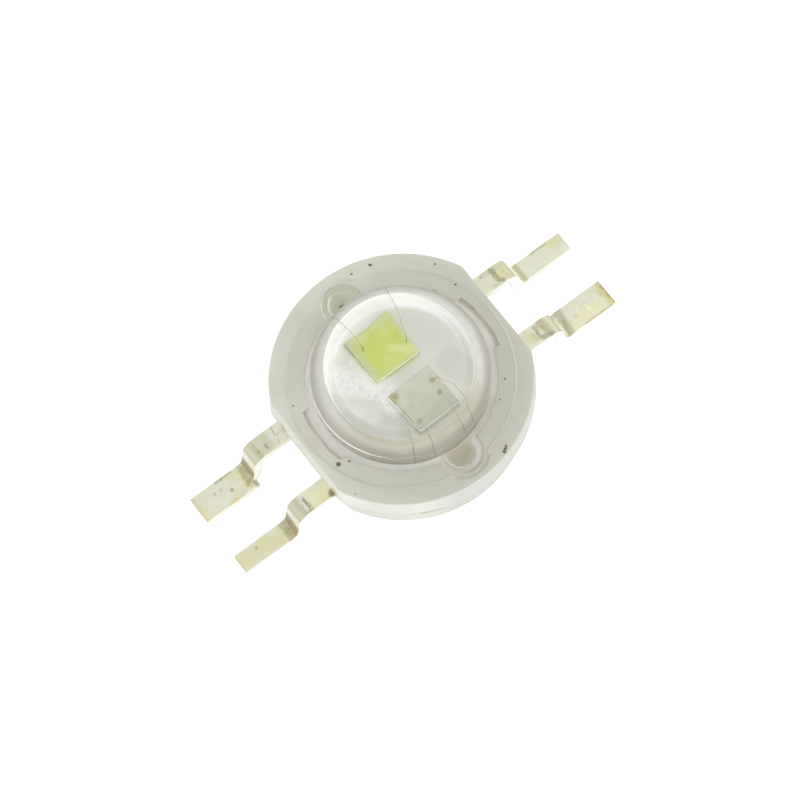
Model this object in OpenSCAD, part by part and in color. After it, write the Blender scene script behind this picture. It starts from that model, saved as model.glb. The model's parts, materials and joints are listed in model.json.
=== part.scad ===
/* [Body] */
// Diameter of the moulded body at its top rim
body_d = 8; // [7.8:0.1:8.6]
// Width across the two flats
flat_w = 7.22; // [7:0.02:7.4]
// Plan radius of the corner between a flat and the round side
corner_r = 0.5; // [0.3:0.05:0.6]
// Height of the moulded body
body_h = 2.45; // [2.4:0.05:2.7]
// Height of the plastic above the seating plane
body_lift = 0.08; // [0.02:0.02:0.12]
// Draft of the side above the parting line, in degrees
draft_upper = 1.9; // [0.5:0.1:3]
// Draft of the side below the parting line, in degrees
draft_lower = 9.7; // [4:0.1:11]
// How far the moulding flash stands out along the parting line
flash_out = 0.015; // [0.005:0.005:0.03]
// Height of the moulding flash
flash_h = 0.03; // [0.02:0.01:0.06]
// Chamfer around the top rim
rim_chamfer = 0.04; // [0.02:0.01:0.08]
// Chamfer around the underside
base_chamfer = 0.2; // [0.1:0.05:0.3]
// Width of the raised rim around the top face
rim_w = 0.57; // [0.4:0.01:0.65]
// Height of the raised rim
rim_h = 0.07; // [0.03:0.01:0.12]
// Width of the slope from the rim down to the face around the lens
rim_slope = 0.08; // [0.04:0.01:0.12]
// Radius of the cavity around the slug post
cavity_r = 2.5; // [2.45:0.01:2.56]

/* [Lens] */
// Radius of the dome
dome_r = 2.75; // [2.7:0.01:2.8]
// Height of the centre of the dome above the top of the body
dome_rise = 0.07; // [0:0.01:0.15]
// Wall of the lens
lens_wall = 0.45; // [0.35:0.01:0.5]
// Height of the straight collar above the centre of the dome
collar_h = 0.45; // [0.3:0.01:0.6]
// Width of the small ledge where the dome meets the collar
ledge_w = 0.027; // [0.01:0.001:0.04]
// Width of the flange outside the collar
flange_w = 0.12; // [0.08:0.01:0.16]
// Thickness of the flange
flange_t = 0.16; // [0.12:0.01:0.2]
// Radius of the fillet between collar and flange
flange_fillet = 0.06; // [0.03:0.01:0.08]
// Distance from the lens axis to the centre of an ear
ear_reach = 2.97; // [2.9:0.01:3]
// Radius of an ear
ear_r = 0.63; // [0.58:0.01:0.66]
// Radius of the fill hole in an ear
ear_hole_r = 0.4; // [0.3:0.01:0.45]
// Radius of the centre line of the round lip on an ear
ear_lip_r = 0.51; // [0.5:0.01:0.54]
// Diameter of the round lip on an ear
ear_lip_d = 0.1; // [0.06:0.01:0.12]
// Distance from the lens axis to the end of a straight lug
lug_reach = 3.04; // [3:0.01:3.1]
// Width of a straight lug
lug_w = 1.82; // [1.4:0.02:2]
// Height of the skirt below the flange
skirt_h = 0.3; // [0.27:0.01:0.34]
// Thickness of the adhesive under the flange
glue_t = 0.04; // [0.02:0.01:0.06]
// Width of the glue line under the flange
glue_w = 0.25; // [0.15:0.01:0.3]
// Width of the channel from a fill hole to the cavity
channel_w = 0.6; // [0.4:0.02:0.7]
// Depth of the gel surface below the mouth of a fill hole
gel_dip = 0.05; // [0.02:0.01:0.1]

/* [Slug] */
// Diameter of the soldered base of the slug
slug_d = 5.8; // [5.4:0.1:6]
// Thickness of the soldered base
slug_base_h = 0.55; // [0.45:0.05:0.65]
// Depth of the groove that locks the slug in the plastic
lock_depth = 0.3; // [0.15:0.05:0.4]
// Height of the locking groove
lock_h = 0.2; // [0.1:0.05:0.25]
// Thickness of the ring above the locking groove
lock_ring_h = 0.25; // [0.15:0.05:0.3]
// Diameter of the post that carries the cup
post_d = 3.68; // [3.64:0.02:3.7]
// Height of the cup rim above the seating plane
cup_top = 2.9; // [2.85:0.01:2.95]
// Depth of the cup
cup_depth = 0.4; // [0.35:0.01:0.45]
// Diameter of the cup floor
cup_floor_d = 3.16; // [3.12:0.01:3.2]
// Diameter of the mouth of the cup
cup_mouth_d = 3.52; // [3.48:0.01:3.56]

/* [Leads] */
// Thickness of the lead frame
lead_t = 0.3; // [0.24:0.01:0.32]
// Height of the top of the lead shoulder
lead_top = 1.64; // [1.6:0.01:1.7]
// Height of the top of the solder foot
foot_top = 0.4; // [0.38:0.01:0.45]
// Distance from the centre to the tip of a foot
lead_reach = 7.07; // [6.8:0.01:7.4]
// Distance from the centre to the start of the upper bend
bend_x = 4.55; // [4.45:0.01:4.7]
// Angle of the riser, in degrees
bend_angle = 80; // [74:1:88]
// Centre line radius of the upper bend
bend_r_upper = 0.3; // [0.22:0.01:0.36]
// Centre line radius of the lower bend
bend_r_lower = 0.35; // [0.25:0.01:0.4]
// Distance from the centre plane to the outer edge of a lead
lead_outer_y = 1.473; // [1.44:0.001:1.5]
// Width of the lead shoulder
lead_w = 0.68; // [0.6:0.01:0.72]
// Width of the wide solder foot
wide_foot_w = 0.93; // [0.85:0.01:1]
// Corner radius where the wide foot steps out
step_r = 0.1; // [0.05:0.01:0.12]
// Distance from the end of the riser to the step of the wide foot
step_back = 0.1; // [0.06:0.01:0.15]
// Insulation between the slug post and a bond finger
finger_gap = 0.14; // [0.1:0.01:0.18]
// Depth of a bond finger under the cavity wall
finger_bite = 0.12; // [0.06:0.01:0.2]
// Angle from the chip axis to the free end of a finger, in degrees
finger_start = 7; // [5:1:12]
// Angle from the chip axis to the root of a finger, in degrees
finger_end = 66; // [60:1:70]

/* [Chips] */
// Side of the coated chip
white_die_w = 1.02; // [0.9:0.01:1.06]
// Side of the bare chip
clear_die_w = 1.14; // [1:0.01:1.18]
// Thickness of both chips
die_t = 0.15; // [0.1:0.01:0.18]
// Thickness of the bond layer under a chip
attach_t = 0.02; // [0.01:0.005:0.03]
// Distance from the centre to each chip along the chip axis
die_pitch = 0.75; // [0.7:0.01:0.78]
// Sideways shift of both chips
die_shift = 0.08; // [0:0.01:0.1]
// Turn of the bare chip, in degrees
clear_die_turn = 3; // [0:1:5]
// Thickness of the phosphor coat on the chip sides
coat_side = 0.04; // [0.02:0.01:0.05]
// Thickness of the phosphor coat on the chip top
coat_top = 0.05; // [0.03:0.01:0.07]
// Depth of the worn notch in the phosphor coat
notch_depth = 0.12; // [0.08:0.01:0.2]
// Diameter of a bonding pad on a chip
pad_d = 0.13; // [0.12:0.01:0.15]
// Thickness of a bonding pad
pad_t = 0.01; // [0.005:0.005:0.02]
// Clearance in the phosphor coat around a bonding pad
pad_gap = 0.02; // [0.01:0.01:0.03]

/* [Wires] */
// Diameter of a bond wire
wire_d = 0.028; // [0.025:0.001:0.035]
// Diameter of the ball on the chip
ball_d = 0.09; // [0.08:0.01:0.11]
// Height of the ball
ball_h = 0.03; // [0.02:0.005:0.04]
// Height of the top of a wire loop above the cup rim
loop_rise = 0.14; // [0.1:0.01:0.2]
// Radius of the bends in a wire
wire_bend_r = 0.08; // [0.06:0.01:0.1]

/* [Hidden] */
$fn = 96;

// Running clearance between the lens and its pocket
lens_gap = 0.04;
// Clearance between the lens skirt and the cavity wall
skirt_gap = 0.03;
// Overshoot of a cutter past the face that it opens
over = 0.5;
// Lap of the straight parts of a wire into its bends
wire_lap = 0.006;
// Lap of the straight parts of a lead into its bends
lead_lap = 0.02;
// How much fuller a bend of a lead is than the flat on each side
bend_swell = 0.002;

// Heights, all above the seating plane
body_top = body_lift + body_h;
face_z = body_top - rim_h;
flange_z = face_z - flange_t;
pocket_z = flange_z - glue_t;
skirt_z = flange_z - skirt_h;
dome_z = body_top + dome_rise;
collar_z = dome_z + collar_h;
cup_floor = cup_top - cup_depth;
die_z = cup_floor + attach_t;
die_top = die_z + die_t;
coat_z = die_top + coat_top;
loop_z = cup_top + loop_rise;

// Radii
rim_r = body_d / 2;
parting_r = rim_r + (body_top - lead_top) * tan(draft_upper);
post_r = post_d / 2;
dome_inner_r = dome_r - lens_wall;
collar_r = sqrt(dome_r * dome_r - collar_h * collar_h) + ledge_w;
flange_r = collar_r + flange_w;
skirt_r = cavity_r - skirt_gap;
lug_corner_r = lug_reach + 0.04;
finger_in = post_r + finger_gap;
finger_out = cavity_r + finger_bite;

// Inset of the side from the outline at the parting line, at a height
function inset(z) = z >= lead_top
    ? (z - lead_top) * tan(draft_upper)
    : (lead_top - z) * tan(draft_lower);

// Body outline at the parting line
outline_flat = flat_w / 2 + parting_r - rim_r;
outline_corner = corner_r + parting_r - rim_r;
corner_x = outline_flat - outline_corner;
corner_y = sqrt(pow(parting_r - outline_corner, 2) - corner_x * corner_x);

// One storey of the body between two heights, with the side set in by its own amount at each
module storey(z_low, z_high, inset_low, inset_high) {
    reach = 2 * rim_r;
    difference() {
        intersection() {
            translate([0, 0, z_low])
                cylinder(h = z_high - z_low, r1 = parting_r - inset_low, r2 = parting_r - inset_high);
            rotate([90, 0, 0])
                linear_extrude(2 * reach, center = true)
                    polygon([
                        [inset_low - outline_flat, z_low], [outline_flat - inset_low, z_low],
                        [outline_flat - inset_high, z_high], [inset_high - outline_flat, z_high]
                    ]);
        }
        for (side_x = [0, 1], side_y = [0, 1])
            mirror([side_x, 0, 0])
                mirror([0, side_y, 0])
                    translate([0, 0, z_low - over])
                        linear_extrude(z_high - z_low + 2 * over)
                            polygon([
                                [corner_x, corner_y], [corner_x + reach, corner_y],
                                [corner_x + reach, corner_y * (corner_x + reach) / corner_x]
                            ]);
    }
    for (side_x = [-1, 1], side_y = [-1, 1])
        translate([side_x * corner_x, side_y * corner_y, z_low])
            cylinder(
                h = z_high - z_low,
                r1 = outline_corner - inset_low,
                r2 = outline_corner - inset_high
            );
}

// The drafted outside of the body with its chamfers and the flash at the parting line
module body_blank() {
    chamfer_low = body_lift + base_chamfer;
    chamfer_high = body_top - rim_chamfer;
    storey(body_lift, chamfer_low, inset(chamfer_low) + base_chamfer, inset(chamfer_low));
    storey(chamfer_low, lead_top - flash_h, inset(chamfer_low), inset(lead_top - flash_h));
    storey(lead_top - flash_h, lead_top, -flash_out, -flash_out);
    storey(lead_top, chamfer_high, 0, inset(chamfer_high));
    storey(chamfer_high, body_top, inset(chamfer_high), inset(chamfer_high) + rim_chamfer);
}

// Outline of the lens flange with its ears and lugs, grown by a clearance
module flange_outline(grow) {
    circle(r = flange_r + grow);
    intersection() {
        square([2 * (lug_reach + grow), lug_w + 2 * grow], center = true);
        circle(r = lug_corner_r + grow);
    }
    for (side = [-1, 1])
        translate([0, side * ear_reach])
            circle(r = ear_r + grow);
}

// The two fill holes in plan, cut off by the collar
module fill_holes() {
    difference() {
        for (side = [-1, 1])
            translate([0, side * ear_reach])
                circle(r = ear_hole_r);
        circle(r = collar_r + flange_fillet);
    }
}

// The two channels in plan that join the fill holes to the cavity
module channels() {
    for (side = [-1, 1]) {
        translate([-channel_w / 2, side > 0 ? dome_inner_r - over : -ear_reach])
            square([channel_w, ear_reach - dome_inner_r + over]);
        translate([0, side * ear_reach])
            circle(d = channel_w);
    }
}

// Side view of a lead: shoulder, rounded bend, riser, rounded bend and foot
shoulder_mid = lead_top - lead_t / 2;
foot_mid = foot_top - lead_t / 2;
bend_drop = 1 - cos(bend_angle);
riser_drop = shoulder_mid - foot_mid - (bend_r_upper + bend_r_lower) * bend_drop;
riser_x = bend_x + bend_r_upper * sin(bend_angle);
riser_z = shoulder_mid - bend_r_upper * bend_drop;
toe_x = riser_x + riser_drop / tan(bend_angle);
toe_z = riser_z - riser_drop;
foot_x = toe_x + bend_r_lower * sin(bend_angle);

module bend(centre, radius, from_angle, to_angle) {
    far = radius + lead_t;
    translate(centre)
        intersection() {
            difference() {
                circle(r = radius + lead_t / 2 + bend_swell);
                circle(r = radius - lead_t / 2 - bend_swell);
            }
            polygon([
                [0, 0],
                far * 1.5 * [cos(from_angle), sin(from_angle)],
                far * 2.2 * [cos((from_angle + to_angle) / 2), sin((from_angle + to_angle) / 2)],
                far * 1.5 * [cos(to_angle), sin(to_angle)]
            ]);
        }
}

module lead_side() {
    along = [cos(bend_angle), -sin(bend_angle)];
    across = lead_t / 2 * [sin(bend_angle), cos(bend_angle)];
    high = [riser_x, riser_z] - lead_lap * along;
    low = [toe_x, toe_z] + lead_lap * along;
    translate([0, lead_top - lead_t])
        square([bend_x + lead_lap, lead_t]);
    bend([bend_x, shoulder_mid - bend_r_upper], bend_r_upper, 90 - bend_angle, 90);
    polygon([high - across, low - across, low + across, high + across]);
    bend([foot_x, foot_mid + bend_r_lower], bend_r_lower, 270 - bend_angle, 270);
    translate([foot_x - lead_lap, foot_top - lead_t])
        square([lead_reach + lead_lap - foot_x, lead_t]);
}

// Plan of a lead, drawn for the side of +X and +Y: bond finger, bar and foot
module lead_plan(foot_w) {
    far = 2 * finger_out;
    root = 90 - finger_end;
    intersection() {
        difference() {
            circle(r = finger_out);
            circle(r = finger_in);
        }
        polygon([
            [0, 0], far * [cos(root), sin(root)], [far, far],
            far * [cos(90 - finger_start), sin(90 - finger_start)]
        ]);
    }
    difference() {
        translate([0, lead_outer_y - lead_w])
            square([lead_reach, lead_w]);
        circle(r = finger_in);
    }
    step_x = toe_x + step_back;
    foot_y = lead_outer_y - foot_w;
    translate([step_x, foot_y + step_r])
        square([lead_reach - step_x, foot_w - step_r]);
    translate([step_x + step_r, foot_y])
        square([lead_reach - step_x - step_r, foot_w]);
    translate([step_x + step_r, foot_y + step_r])
        circle(r = step_r + bend_swell);
}

// One lead: its side view and its plan, each drawn out and made to meet
module lead(foot_w, turn, flip) {
    rotate([0, 0, turn])
        mirror([0, flip ? 1 : 0, 0])
            intersection() {
                translate([0, lead_reach, 0])
                    rotate([90, 0, 0])
                        linear_extrude(lead_reach + over)
                            lead_side();
                linear_extrude(lead_top + over)
                    lead_plan(foot_w);
            }
}

module lead_left_wide() { color([0.84, 0.84, 0.77]) lead(wide_foot_w, 180, true); }
module lead_left_narrow() { color([0.84, 0.84, 0.77]) lead(lead_w, 180, false); }
module lead_right_narrow() { color([0.84, 0.84, 0.77]) lead(lead_w, 0, false); }
module lead_right_wide() { color([0.84, 0.84, 0.77]) lead(wide_foot_w, 0, true); }

// The slug turned in one piece: soldered base, locking groove, post and cup
module heat_slug() {
    lock_r = slug_d / 2 - lock_depth;
    ring_r = slug_d / 2 - lock_depth / 2;
    groove_top = slug_base_h + lock_h;
    ring_top = groove_top + lock_ring_h;
    color([0.86, 0.86, 0.84])
        rotate_extrude()
            polygon([
                [0, 0], [slug_d / 2, 0], [slug_d / 2, slug_base_h], [lock_r, slug_base_h],
                [lock_r, groove_top], [ring_r, groove_top], [ring_r, ring_top],
                [post_r, ring_top], [post_r, cup_top], [cup_mouth_d / 2, cup_top],
                [cup_floor_d / 2, cup_floor], [0, cup_floor]
            ]);
}

module housing() {
    color([0.80, 0.80, 0.76])
        difference() {
            body_blank();
            translate([0, 0, face_z])
                cylinder(h = 2 * rim_h, r1 = rim_r - rim_w, r2 = rim_r - rim_w + 2 * rim_slope);
            translate([0, 0, pocket_z])
                linear_extrude(body_top)
                    flange_outline(lens_gap);
            translate([0, 0, lead_top])
                cylinder(h = body_top, r = cavity_r);
            translate([0, 0, skirt_z])
                linear_extrude(body_top)
                    channels();
            heat_slug();
            lead_left_wide();
            lead_left_narrow();
            lead_right_narrow();
            lead_right_wide();
        }
}

// Section of the clear lens, without its flange
module lens_section() {
    difference() {
        union() {
            intersection() {
                translate([0, dome_z])
                    circle(r = dome_r);
                translate([0, collar_z])
                    square([dome_r, dome_r]);
            }
            translate([0, flange_z])
                square([collar_r, collar_z - flange_z]);
            translate([0, skirt_z])
                square([skirt_r, flange_z - skirt_z]);
            difference() {
                translate([collar_r, face_z])
                    square([flange_fillet, flange_fillet]);
                translate([collar_r + flange_fillet, face_z + flange_fillet])
                    circle(r = flange_fillet);
            }
        }
        translate([0, dome_z])
            circle(r = dome_inner_r);
        translate([0, skirt_z - over])
            square([dome_inner_r, dome_z - skirt_z + over]);
        translate([-dome_r, skirt_z - over])
            square([dome_r, 3 * dome_r]);
    }
}

// The round lips that stand on the ears, around the fill holes
module ear_lips() {
    for (side = [-1, 1])
        translate([0, side * ear_reach, face_z])
            rotate_extrude()
                translate([ear_lip_r, 0])
                    circle(d = ear_lip_d);
}

module lens() {
    color([0.90, 0.94, 0.94, 0.35])
        difference() {
            union() {
                rotate_extrude()
                    lens_section();
                translate([0, 0, flange_z])
                    linear_extrude(flange_t)
                        difference() {
                            flange_outline(0);
                            circle(r = collar_r - lens_wall / 2);
                        }
                ear_lips();
            }
            translate([0, 0, flange_z - over])
                linear_extrude(flange_t + 2 * over)
                    fill_holes();
            translate([0, 0, skirt_z - over])
                linear_extrude(pocket_z - skirt_z + over)
                    channels();
        }
}

module lens_adhesive() {
    color([0.86, 0.84, 0.76, 0.6])
        translate([0, 0, pocket_z])
            linear_extrude(glue_t)
                difference() {
                    circle(r = flange_r);
                    circle(r = flange_r - glue_w);
                    channels();
                    fill_holes();
                }
}

// The space under the lens and around the cup that the gel is poured into
module gel_space() {
    translate([0, 0, lead_top])
        cylinder(h = skirt_z - lead_top, r = cavity_r);
    translate([0, 0, lead_top])
        cylinder(h = dome_z - lead_top, r = dome_inner_r);
    intersection() {
        translate([0, 0, dome_z])
            sphere(r = dome_inner_r);
        translate([0, 0, dome_z])
            cylinder(h = dome_r, r = dome_r);
    }
    translate([0, 0, skirt_z])
        linear_extrude(pocket_z - skirt_z)
            channels();
    translate([0, 0, pocket_z])
        linear_extrude(face_z - gel_dip - pocket_z)
            fill_holes();
}

module encapsulant() {
    color([0.95, 0.96, 0.93, 0.3])
        difference() {
            gel_space();
            heat_slug();
            white_die_attach();
            white_die();
            phosphor_coat();
            clear_die_attach();
            clear_die();
            white_die_pads();
            clear_die_pads();
            white_wire_left();
            white_wire_right();
            clear_wire_long();
            clear_wire_left();
            clear_wire_slack();
            clear_wire_right();
        }
}

// Places a chip, or a layer of it, on the floor of the cup
module on_floor(side, turn, z) {
    translate([die_shift, side * die_pitch, z])
        rotate([0, 0, turn])
            children();
}

module slab(width, height) {
    translate([-width / 2, -width / 2, 0])
        cube([width, width, height]);
}

module white_die() {
    color([0.55, 0.60, 0.66])
        on_floor(1, 0, die_z)
            slab(white_die_w, die_t);
}

module white_die_attach() {
    color([0.75, 0.75, 0.72])
        on_floor(1, 0, cup_floor)
            slab(white_die_w, attach_t);
}

module clear_die() {
    color([0.74, 0.77, 0.70])
        on_floor(-1, clear_die_turn, die_z)
            slab(clear_die_w, die_t);
}

module clear_die_attach() {
    color([0.75, 0.75, 0.72])
        on_floor(-1, clear_die_turn, cup_floor)
            slab(clear_die_w, attach_t);
}

// The coat over the chip, worn through in an uneven notch along its far edge
module phosphor_coat() {
    coat_w = white_die_w + 2 * coat_side;
    notch = [
        [-0.40, 0], [-0.31, 0.45], [-0.22, 0.35], [-0.14, 0.8],
        [0.02, 1], [0.10, 0.6], [0.24, 0.5], [0.30, 0]
    ];
    edge = coat_w / 2;
    color([0.78, 0.83, 0.43])
        difference() {
            on_floor(1, 0, die_z)
                slab(coat_w, die_t + coat_top);
            white_die();
            on_floor(1, 0, die_z - over)
                linear_extrude(die_t + coat_top + 2 * over)
                    polygon(concat(
                        [[-0.40 * coat_w, edge + over]],
                        [for (p = notch) [p[0] * coat_w, edge - p[1] * notch_depth]],
                        [[0.30 * coat_w, edge + over]]
                    ));
            on_pads(white_pads)
                cylinder(h = over, d = pad_d + 2 * pad_gap);
        }
}

// Bond positions as shares of the chip from its centre, with the chip's own turn
white_left_pad = [1, -0.37, 0.16];
white_right_pad = [1, 0.40, -0.24];
clear_long_pad = [-1, -0.38, 0.40];
clear_left_pad = [-1, -0.38, -0.34];
clear_slack_pad = [-1, 0.36, 0.20];
clear_right_pad = [-1, 0.32, -0.10];
white_pads = [white_left_pad, white_right_pad];
clear_pads = [clear_long_pad, clear_left_pad, clear_slack_pad, clear_right_pad];

function pad(p) =
    let (
        width = p[0] > 0 ? white_die_w : clear_die_w,
        turn = p[0] > 0 ? 0 : clear_die_turn
    )
    [
        die_shift + width * (p[1] * cos(turn) - p[2] * sin(turn)),
        p[0] * die_pitch + width * (p[1] * sin(turn) + p[2] * cos(turn))
    ];

module on_pads(pads) {
    for (p = pads)
        translate([pad(p)[0], pad(p)[1], die_top])
            children();
}

module white_die_pads() {
    color([0.72, 0.60, 0.42])
        on_pads(white_pads)
            cylinder(h = pad_t, d = pad_d);
}

module clear_die_pads() {
    color([0.72, 0.60, 0.42])
        on_pads(clear_pads)
            cylinder(h = pad_t, d = pad_d);
}

// A place on a bond finger, at an angle about the lens axis
stitch_r = (finger_in + cavity_r) / 2;
function on_finger(angle) = stitch_r * [cos(angle), sin(angle)];

// A round rod between two points of the plane of a wire
module rod(start, end) {
    run = end - start;
    translate([start[0], start[1], 0])
        rotate([0, 0, atan2(run[1], run[0])])
            rotate([0, 90, 0])
                cylinder(h = norm(run), d = wire_d);
}

// A wire laid along points in one plane, with a true round bend at each inner point
module bent_wire(points) {
    last = len(points) - 1;
    heading = [for (i = [0:last - 1]) atan2(
        points[i + 1][1] - points[i][1], points[i + 1][0] - points[i][0]
    )];
    turn = [for (i = [1:last - 1]) heading[i] - heading[i - 1]];
    trim = [0, for (t = turn) wire_bend_r * tan(abs(t) / 2), 0];
    for (i = [0:last - 1]) {
        ahead = [cos(heading[i]), sin(heading[i])];
        rod(
            points[i] + (trim[i] - (i > 0 ? wire_lap : 0)) * ahead,
            points[i + 1] - (trim[i + 1] - (i < last - 1 ? wire_lap : 0)) * ahead
        );
    }
    for (i = [1:last - 1]) {
        t = turn[i - 1];
        way = t > 0 ? 1 : -1;
        from = points[i] - trim[i] * [cos(heading[i - 1]), sin(heading[i - 1])];
        centre = from + way * wire_bend_r * [-sin(heading[i - 1]), cos(heading[i - 1])];
        begin = heading[i - 1] - way * 90;
        translate([centre[0], centre[1], 0])
            rotate([0, 0, t > 0 ? begin : begin + t])
                rotate_extrude(angle = abs(t))
                    translate([wire_bend_r, 0])
                        circle(d = 1.05 * wire_d);
    }
}

// A bond wire: ball on the chip, loop over the rim of the cup, stitch on the finger
module bond_wire(chip_pad, finger_angle, lean) {
    start = pad(chip_pad);
    end = on_finger(finger_angle);
    run = end - start;
    span = norm(run);
    pad_top = die_top + pad_t;
    drop = pad_top - lead_top;
    stitch = 2 * wire_bend_r;
    tail = lead_top + 0.6 * wire_d;
    crest = span - stitch - wire_bend_r;
    color([0.45, 0.42, 0.35]) {
        translate([start[0], start[1], pad_top])
            cylinder(h = ball_h, d = ball_d);
        translate([end[0], end[1], lead_top])
            cylinder(h = 1.2 * wire_d, d = 2.8 * wire_d);
        translate([start[0], start[1], pad_top])
            rotate([0, 0, atan2(run[1], run[0])])
                rotate([0, atan2(drop, span), 0])
                    rotate([lean, 0, 0])
                        rotate([0, -atan2(drop, span), 0])
                            translate([0, 0, -pad_top])
                                rotate([90, 0, 0])
                                    bent_wire([
                                        [0, pad_top + ball_h / 2], [0.05 * span, loop_z - 0.05],
                                        [0.4 * span, loop_z + 0.04], [crest, loop_z],
                                        [span - stitch, tail], [span, tail]
                                    ]);
    }
}

module white_wire_left() { bond_wire(white_left_pad, 103, 0); }
module white_wire_right() { bond_wire(white_right_pad, 65, 0); }
module clear_wire_long() { bond_wire(clear_long_pad, 242, 0); }
module clear_wire_left() { bond_wire(clear_left_pad, 256, 0); }
module clear_wire_slack() { bond_wire(clear_slack_pad, 289, 0); }
module clear_wire_right() { bond_wire(clear_right_pad, 281, 0); }

housing();
heat_slug();
lead_left_wide();
lead_left_narrow();
lead_right_narrow();
lead_right_wide();
lens();
lens_adhesive();
encapsulant();
white_die();
white_die_attach();
phosphor_coat();
clear_die();
clear_die_attach();
white_die_pads();
clear_die_pads();
white_wire_left();
white_wire_right();
clear_wire_long();
clear_wire_left();
clear_wire_slack();
clear_wire_right();
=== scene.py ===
# %% [markdown]
# # A high power LED with a domed lens
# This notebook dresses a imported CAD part: a round moulded body, four gull wing leads, a bright
# cup with two chips and a clear lens. Every length below is written in millimetres and turned to
# metres once, when a mesh is made. The frame is the CAD's own: +Z up the lens axis, +X along the
# leads, and the seating plane at zero.

# %% Load the frame
import json
import math
from types import SimpleNamespace

import bmesh
import bpy
from mathutils import Matrix, Vector

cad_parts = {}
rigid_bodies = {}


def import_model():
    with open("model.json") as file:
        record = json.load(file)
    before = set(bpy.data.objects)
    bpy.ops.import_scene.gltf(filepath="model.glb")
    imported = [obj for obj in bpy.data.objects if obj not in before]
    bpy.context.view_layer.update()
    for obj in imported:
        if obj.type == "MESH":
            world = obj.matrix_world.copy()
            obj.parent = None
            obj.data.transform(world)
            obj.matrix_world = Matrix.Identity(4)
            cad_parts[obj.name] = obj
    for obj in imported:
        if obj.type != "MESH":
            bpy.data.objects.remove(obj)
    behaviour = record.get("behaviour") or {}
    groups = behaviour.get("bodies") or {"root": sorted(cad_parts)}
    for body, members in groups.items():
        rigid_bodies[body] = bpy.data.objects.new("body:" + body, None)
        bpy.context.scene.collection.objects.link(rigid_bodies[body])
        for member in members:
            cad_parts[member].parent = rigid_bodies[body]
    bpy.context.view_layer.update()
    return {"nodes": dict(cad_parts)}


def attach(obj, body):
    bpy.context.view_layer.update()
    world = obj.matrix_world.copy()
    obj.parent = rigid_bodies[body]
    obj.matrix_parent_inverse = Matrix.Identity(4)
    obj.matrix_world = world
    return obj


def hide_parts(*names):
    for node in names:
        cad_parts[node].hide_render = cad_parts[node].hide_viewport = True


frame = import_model()
MM = 0.001
print("CAD nodes:", sorted(frame["nodes"]))

# %% [markdown]
# ## Colours and nodes
# A colour is written as a hex value, as a designer would pick it, and one function turns it to
# the linear light that the renderer adds up. One small function adds any node: its settings are
# properties, and its inputs are numbers, colours, earlier nodes or a socket of one.

# %% Colours and nodes
MATH, VECTOR, MIX = "ShaderNodeMath", "ShaderNodeVectorMath", "ShaderNodeMix"
RANGE, NOISE, BUMP = "ShaderNodeMapRange", "ShaderNodeTexNoise", "ShaderNodeBump"
XYZ, PLACES, MAPPING = "ShaderNodeSeparateXYZ", "ShaderNodeTexCoord", "ShaderNodeMapping"


def linear(hex_colour):
    """Turns an sRGB hex colour into linear RGB with full alpha."""
    values = [int(hex_colour[i:i + 2], 16) / 255 for i in (1, 3, 5)]
    return [v / 12.92 if v <= 0.04045 else ((v + 0.055) / 1.055) ** 2.4 for v in values] + [1.0]


def feed(tree, node, inputs):
    """Sets inputs of a node, by place or by name, or links them to earlier nodes or sockets."""
    for name, value in inputs.items():
        socket = node.inputs[name] if isinstance(name, int) else next(
            s for s in node.inputs if s.enabled and s.name == name)
        if isinstance(value, bpy.types.Node):
            value = next(s for s in value.outputs if s.enabled)
        if isinstance(value, bpy.types.NodeSocket):
            tree.links.new(value, socket)
        else:
            socket.default_value = value


def add(tree, kind, inputs=None, **settings):
    """Adds a node to a tree, sets its properties and feeds its inputs."""
    node = tree.nodes.new(kind)
    for name, value in settings.items():
        setattr(node, name, value)
    feed(tree, node, inputs or {})
    return node


def new_material(name, **constants):
    """Starts a material. Its Principled shader gets the constant values given by name."""
    material = bpy.data.materials.new(name)
    material.use_nodes = True
    tree = material.node_tree
    shader = tree.nodes["Principled BSDF"]
    feed(tree, shader, {key.replace("_", " "): value for key, value in constants.items()})
    return material, tree, shader


print("a mid grey, #808080, is", round(linear("#808080")[0], 3), "in linear light")

# %% [markdown]
# ## Masks and coats
# A finish is painted in coats. A coat is a colour and a mask that says where it lies: above a
# height, far from the lens axis, on upright faces, or in patches whose edges noise makes ragged.
# Patches serve for stains and also for painted light and painted shade.
# Every mask is worked out from the surface point in millimetres, so nothing has to be unwrapped,
# and the scale of a noise is one over the size of its largest blobs in millimetres.

# %% Masks and coats
def surface(tree):
    """What a finish can know of a surface point. reach is how far it lies from the lens axis,
    and level is 1 where its face lies flat and 0 where it stands upright."""
    texture = add(tree, PLACES)
    place = add(tree, VECTOR, {0: texture.outputs["Object"], 3: 1 / MM}, operation="SCALE")
    x, y, z = add(tree, XYZ, {0: place}).outputs
    plan = add(tree, VECTOR, {0: place, 1: (1.0, 1.0, 0.0)}, operation="MULTIPLY")
    reach = add(tree, VECTOR, {0: plan}, operation="LENGTH")
    facing = add(tree, XYZ, {0: texture.outputs["Normal"]}).outputs
    level = add(tree, MATH, {0: facing[2]}, operation="ABSOLUTE")
    return SimpleNamespace(place=place, x=x, y=y, z=z, reach=reach, facing=facing, level=level)


def where(tree, *parts):
    """A mask, the product of its parts. A part is a share, an earlier mask or a soft edge. An
    edge is a value, where it gives nothing, where it gives all, and the least that it leaves."""
    mask = None
    for part in parts:
        if isinstance(part, tuple):
            value, nothing, full, *least = part
            part = add(tree, RANGE, {0: value, 1: nothing, 2: full, 3: sum(least)},
                       interpolation_type="SMOOTHSTEP")
        mask = part if mask is None else add(tree, MATH, {0: mask, 1: part}, operation="MULTIPLY")
    return mask


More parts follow.
